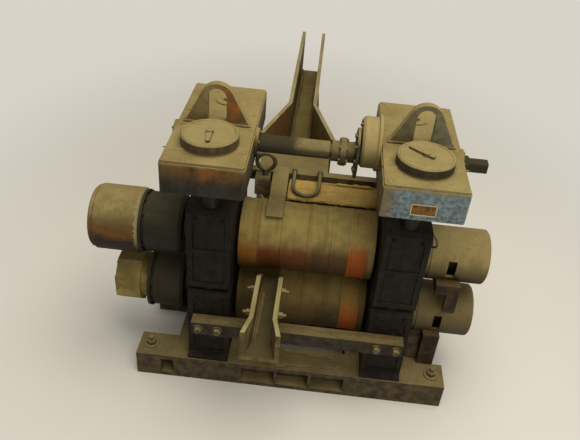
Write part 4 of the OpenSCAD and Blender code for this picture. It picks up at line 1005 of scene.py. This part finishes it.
def dust_finish(name, shift, pale, deep):
    """Nothing but dust: two tans by cloud and grain, quite dull."""
    f = Finish(name)
    grain = f.noise(0.006, 5, shift + 2)
    wandering = f.rise(f.blend(0.5, f.noise(0.05, 6, shift), grain), 0.36, 0.62)
    f.done(f.mix(wandering, deep, pale), 0.96, grain, depth=0.0016, gloss=0.15)


dust_finish("dust on the caps", 131, DUST_PALE, DUST_DEEP)
dust_finish("dust low down", 135, (116, 101, 64), (94, 80, 49))
HEAPS = np.array([(-0.56, -0.045), (-0.43, -0.048), (-0.52, 0.030), (0.44, -0.050),
                  (0.58, -0.045), (0.53, 0.030), (-0.37, -0.24), (-0.63, -0.30), (0.37, -0.26),
                  (0.64, -0.22), (-0.42, 0.22), (0.41, 0.25), (-0.58, 0.33), (0.60, 0.16)])
HEAP_RINGS, HEAP_SIDES = 7, 28
HEAP_FOOT = CAP_TOP - 0.0005
random = np.random.default_rng(7)
half_x, half_y, height = (random.uniform(*span, (len(HEAPS), 1, 1))
                          for span in ((0.035, 0.07), (0.014, 0.032), (0.004, 0.010)))
waves = np.arange(2, 8)[:, None]
phase = random.uniform(0, 2 * np.pi, (len(HEAPS), len(waves), 1))
size = random.uniform(0.3, 1.0, phase.shape) / waves
angle = np.arange(HEAP_SIDES) * 2 * np.pi / HEAP_SIDES
t = np.linspace(1.0, 0.06, HEAP_RINGS)[:, None]
rim = 1 + 0.55 * (size * np.cos(waves * angle + phase)).sum(axis=1)
ragged = rim[:, None, :] * t
points = np.stack([HEAPS[:, 0, None, None] + half_x * ragged * np.cos(angle),
                   HEAPS[:, 1, None, None] + half_y * ragged * np.sin(angle),
                   HEAP_FOOT + height * (1 - t ** 2) ** 2 * np.ones_like(ragged)], -1)
cap_heaps = mesh_object("cap_heaps", points, ring_faces(len(HEAPS), HEAP_RINGS, HEAP_SIDES),
                        "dust on the caps", 180)
carry(cap_heaps, "stand")
print("heaps:", len(HEAPS))

# %% [markdown]
# ## Drifts of dust
#
# Dust lies along the bars and the sills and fills the corners of the trough and the guide. A
# drift is a drawn shape with a flat foot, a long low ridge whose width and height wander
# along it with eight cosines, and it tapers at both ends.

# %% Drifts
REST_Y, REST_TOP, SILL_TOP = -0.345, 0.4815, BASE_TOP - 0.0005
CHANNEL_X, CHANNEL_Z = 0.066, 0.6535


def drift(name, start, end, width, height, look="dust low down", body="stand"):
    """A ridge from start to end; its sizes go from 0.35 of the given ones to the whole."""
    t = np.linspace(0, 1, 60)
    k = np.arange(1, 9)[:, None]
    phase = random.uniform(0, 2 * np.pi, k.shape)
    swing = (np.cos(2 * np.pi * k * t + phase) / (0.5 + k)).sum(axis=0)
    swing = (swing - swing.min()) / (swing.max() - swing.min())
    share = (0.35 + 0.65 * swing) * np.clip(np.minimum(t, 1 - t) * 8, 0.05, 1) ** 0.5
    drawn(name, np.linspace(start, end, len(t)), width * share, height * share, 12, look, body,
          flat_foot=0.05, sharp=180)


drift("guard_drift_back", (0.06, 0.247, 1.0465), (0.350, 0.247, 1.0465), 0.013, 0.020,
      "roll guard", "upper_chocks")
drift("rest_drift", (-0.08, REST_Y, REST_TOP), (0.560, REST_Y, REST_TOP), 0.028, 0.006)
drift("rest_drift_left", (-0.565, REST_Y, REST_TOP), (-0.260, REST_Y, REST_TOP), 0.028, 0.006)
for side, way, start_y, height in (("left", -1, 1.36, 0.012), ("right", 1, 1.37, 0.010)):
    x = TROUGH_X + way * CHANNEL_X
    drift("channel_drift_" + side, (x, start_y, CHANNEL_Z), (x, 2.78, CHANNEL_Z), 0.022, height)
drift("entry_drift", (-0.205, -0.60, 0.6375), (-0.200, -0.24, 0.6375), 0.012, 0.006)
for side, y in (("front", -0.270), ("back", 0.270)):
    drift("sill_drift_" + side, (-0.28, y, SILL_TOP), (0.28, y, SILL_TOP), 0.072, 0.007,
          "base frame")
print("drifts done:", len(FACES_MADE), "meshes")

# %% [markdown]
# ## The crust on the guard's lip
#
# Wet dust has caked on the guard and hangs over its front edge in small lobes. The crust is
# a bent strip: one parameter runs along the roll. The other goes over the plate, from 170 mm
# behind the roll's axis forward to the lip, and then down, and how far it hangs is a sum of
# five cosines. Solidify gives it its thickness.

# %% Crust
CRUST_START_Y, GUARD_TOP, GUARD_SLOPE = 0.170, 1.0495, 0.0482
along, over = np.meshgrid(np.linspace(0, 1, 160), np.linspace(0, 1, 16), indexing="ij")
lobe_waves = np.array([3, 7, 11, 17, 26])
lobe_phase = random.uniform(0, 2 * np.pi, len(lobe_waves))
lobes = sum(np.cos(w * along * 2 * np.pi + p) / (1.5 + i)
            for i, (w, p) in enumerate(zip(lobe_waves, lobe_phase)))
depth = np.clip(0.012 + 0.011 * lobes, 0.003, 0.0205)
forward_part = np.clip(over / 0.6, 0, 1)
falling = np.clip((over - 0.6) / 0.4, 0, 1)
y = CRUST_START_Y - 0.076 * forward_part - 0.010 * falling
z = GUARD_TOP - (0.262 - y) * GUARD_SLOPE - depth * falling ** 1.3
crust_points = np.stack([-0.130 + 0.485 * along, y, z], axis=-1)
crust = mesh_object("guard_crust", crust_points,
                    grid_faces(np.arange(along.size).reshape(along.shape)), "roll guard", 180)
wall = crust.modifiers.new("thickness", "SOLIDIFY")
wall.thickness, wall.offset = 0.004, 0.0
carry(crust, "upper_chocks")
print("crust:", along.size, "points")

# %% [markdown]
# ## Grease lines
#
# A thin pipe brings grease from the upper chock to the end cover's flange. It is a ring
# carried along a smooth path: the path runs through a few points, joined by Catmull-Rom
# curves, which pass through each point and take their slope from its neighbours. The
# nipples on the chocks' faces are turned.

# %% Grease line and nipples


def smooth_path(points, steps=12):
    """Catmull-Rom: between two points, the cubic whose slopes follow the neighbours."""
    p = np.array(points, float)
    p = np.vstack([2 * p[0] - p[1], p, 2 * p[-1] - p[-2]])
    t = np.linspace(0, 1, steps, endpoint=False)[None, :, None]
    a, b, c, d = (p[i:len(p) - 3 + i][:, None] for i in range(4))
    curve = 0.5 * (2 * b + (c - a) * t + (2 * a - 5 * b + 4 * c - d) * t ** 2
                   + (3 * b - a - 3 * c + d) * t ** 3)
    return np.vstack([curve.reshape(-1, 3), p[-2:-1]])


line_path = smooth_path([(0.590, -0.255, 1.150), (0.612, -0.262, 1.140), (0.636, -0.262, 1.100),
                         (0.640, -0.240, 1.055), (0.622, -0.180, 1.015), (0.614, -0.118, 0.985)])
drawn("grease_line", line_path, 0.0055, 0.0055, 12, "roll tab", "upper_chocks")
nipple = [(0.009, 0), (0.009, 0.008), (0.005, 0.010), (0.005, 0.014), (0.0075, 0.017),
          (0.005, 0.022), (0.002, 0.023)]
for level, z, body in (("upper", 1.12, "upper_chocks"), ("lower", 0.60, "stand")):
    spots = [(x, -0.310, z) for x in (-0.42, -0.56, 0.42, 0.56)]
    turned("grease_nipples_" + level, nipple, spots, "-y", body, sides=12,
           look="greasy casting")
print("pieces:", len(FACES_MADE), "faces:", sum(FACES_MADE.values()))

# %% [markdown]
# ## Floor, backdrop and light
#
# The floor is one pale sheet. Away from the stand it shines a little toward the camera and
# in reflections alone, so that it stays evenly pale to the edge of the picture while the
# stand keeps its shadow. The world shows the floor's colour to the same two kinds of rays
# and is dim daylight to all others. A wide lamp overhead does most of the work.

# %% Stage
FLOOR_COLOUR = paint(216, 211, 201)


def seen_directly(tree):
    """1 for the camera's rays and reflected ones, 0 for all others."""
    rays = tree.nodes.new("ShaderNodeLightPath")
    either = tree.nodes.new("ShaderNodeMath")
    either.operation = "MAXIMUM"
    tree.links.new(rays.outputs["Is Camera Ray"], either.inputs[0])
    tree.links.new(rays.outputs["Is Glossy Ray"], either.inputs[1])
    return either.outputs[0]


def switch(tree, mask, usual, pale, surface):
    """Puts the pale shader in place of the usual one where the mask is 1."""
    mixed = tree.nodes.new("ShaderNodeMixShader")
    for socket, source in zip(mixed.inputs, (mask, usual, pale)):
        tree.links.new(source, socket)
    tree.links.new(mixed.outputs[0], surface)


f = Finish("floor")
f.done(f.mix(f.noise(1.6, 4), (210, 205, 194), (220, 215, 206)), 0.9, gloss=0.4)
ahead = f.node("ShaderNodeMapping")
ahead.inputs["Location"].default_value = (0.1, -0.6, 0.0)
ahead.inputs["Scale"].default_value = (1.0, 0.75, 0.0)
f.feed(ahead.inputs["Vector"], f.place)
distance = f.node("ShaderNodeVectorMath", operation="LENGTH")
f.feed(distance.inputs[0], ahead.outputs[0])
away = f.rise(distance.outputs["Value"], 1.3, 3.6)
shine = f.node("ShaderNodeEmission")
shine.inputs["Color"].default_value = FLOOR_COLOUR
switch(f.tree, f.times(seen_directly(f.tree), away), f.shader.outputs[0], shine.outputs[0], f.out)
corners = np.meshgrid(np.linspace(-30, 30, 4), np.linspace(-30, 45, 4), indexing="ij")
floor_points = np.stack([*corners, np.zeros((4, 4))], axis=-1)
floor = mesh_object("floor", floor_points, grid_faces(np.arange(16).reshape(4, 4)), "floor")

world = bpy.data.worlds.new("sky")
bpy.context.scene.world = world
world.use_nodes = True
sky = world.node_tree
daylight = sky.nodes["Background"]
daylight.inputs["Color"].default_value = (1.0, 0.98, 0.94, 1)
daylight.inputs["Strength"].default_value = 0.40
backdrop = sky.nodes.new("ShaderNodeBackground")
backdrop.inputs["Color"].default_value = FLOOR_COLOUR
switch(sky, seen_directly(sky), daylight.outputs[0], backdrop.outputs[0],
       sky.nodes["World Output"].inputs["Surface"])


def lamp(name, place, target, size, power):
    """A square, slightly warm area lamp at place that looks at target."""
    data = bpy.data.lights.new(name, "AREA")
    data.size, data.energy, data.color = size, power, (1.0, 0.97, 0.88)
    made = bpy.data.objects.new(name, data)
    turn = (Vector(place) - Vector(target)).to_track_quat("Z", "Y").to_matrix().to_4x4()
    made.matrix_world = Matrix.Translation(place) @ turn
    bpy.context.scene.collection.objects.link(made)


lamp("roof light", (0.8, -0.5, 6.5), (0, 0, 0.6), 5.0, 320)
lamp("front fill", (2.5, -5.5, 3.0), (0, 0, 0.7), 3.0, 110)
bpy.context.scene.view_settings.view_transform = "Standard"
print("lamps:", [light.name for light in bpy.data.lights])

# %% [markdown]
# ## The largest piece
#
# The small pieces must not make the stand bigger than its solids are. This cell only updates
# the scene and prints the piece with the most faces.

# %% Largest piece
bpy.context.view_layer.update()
print("largest piece:", max(FACES_MADE, key=FACES_MADE.get))
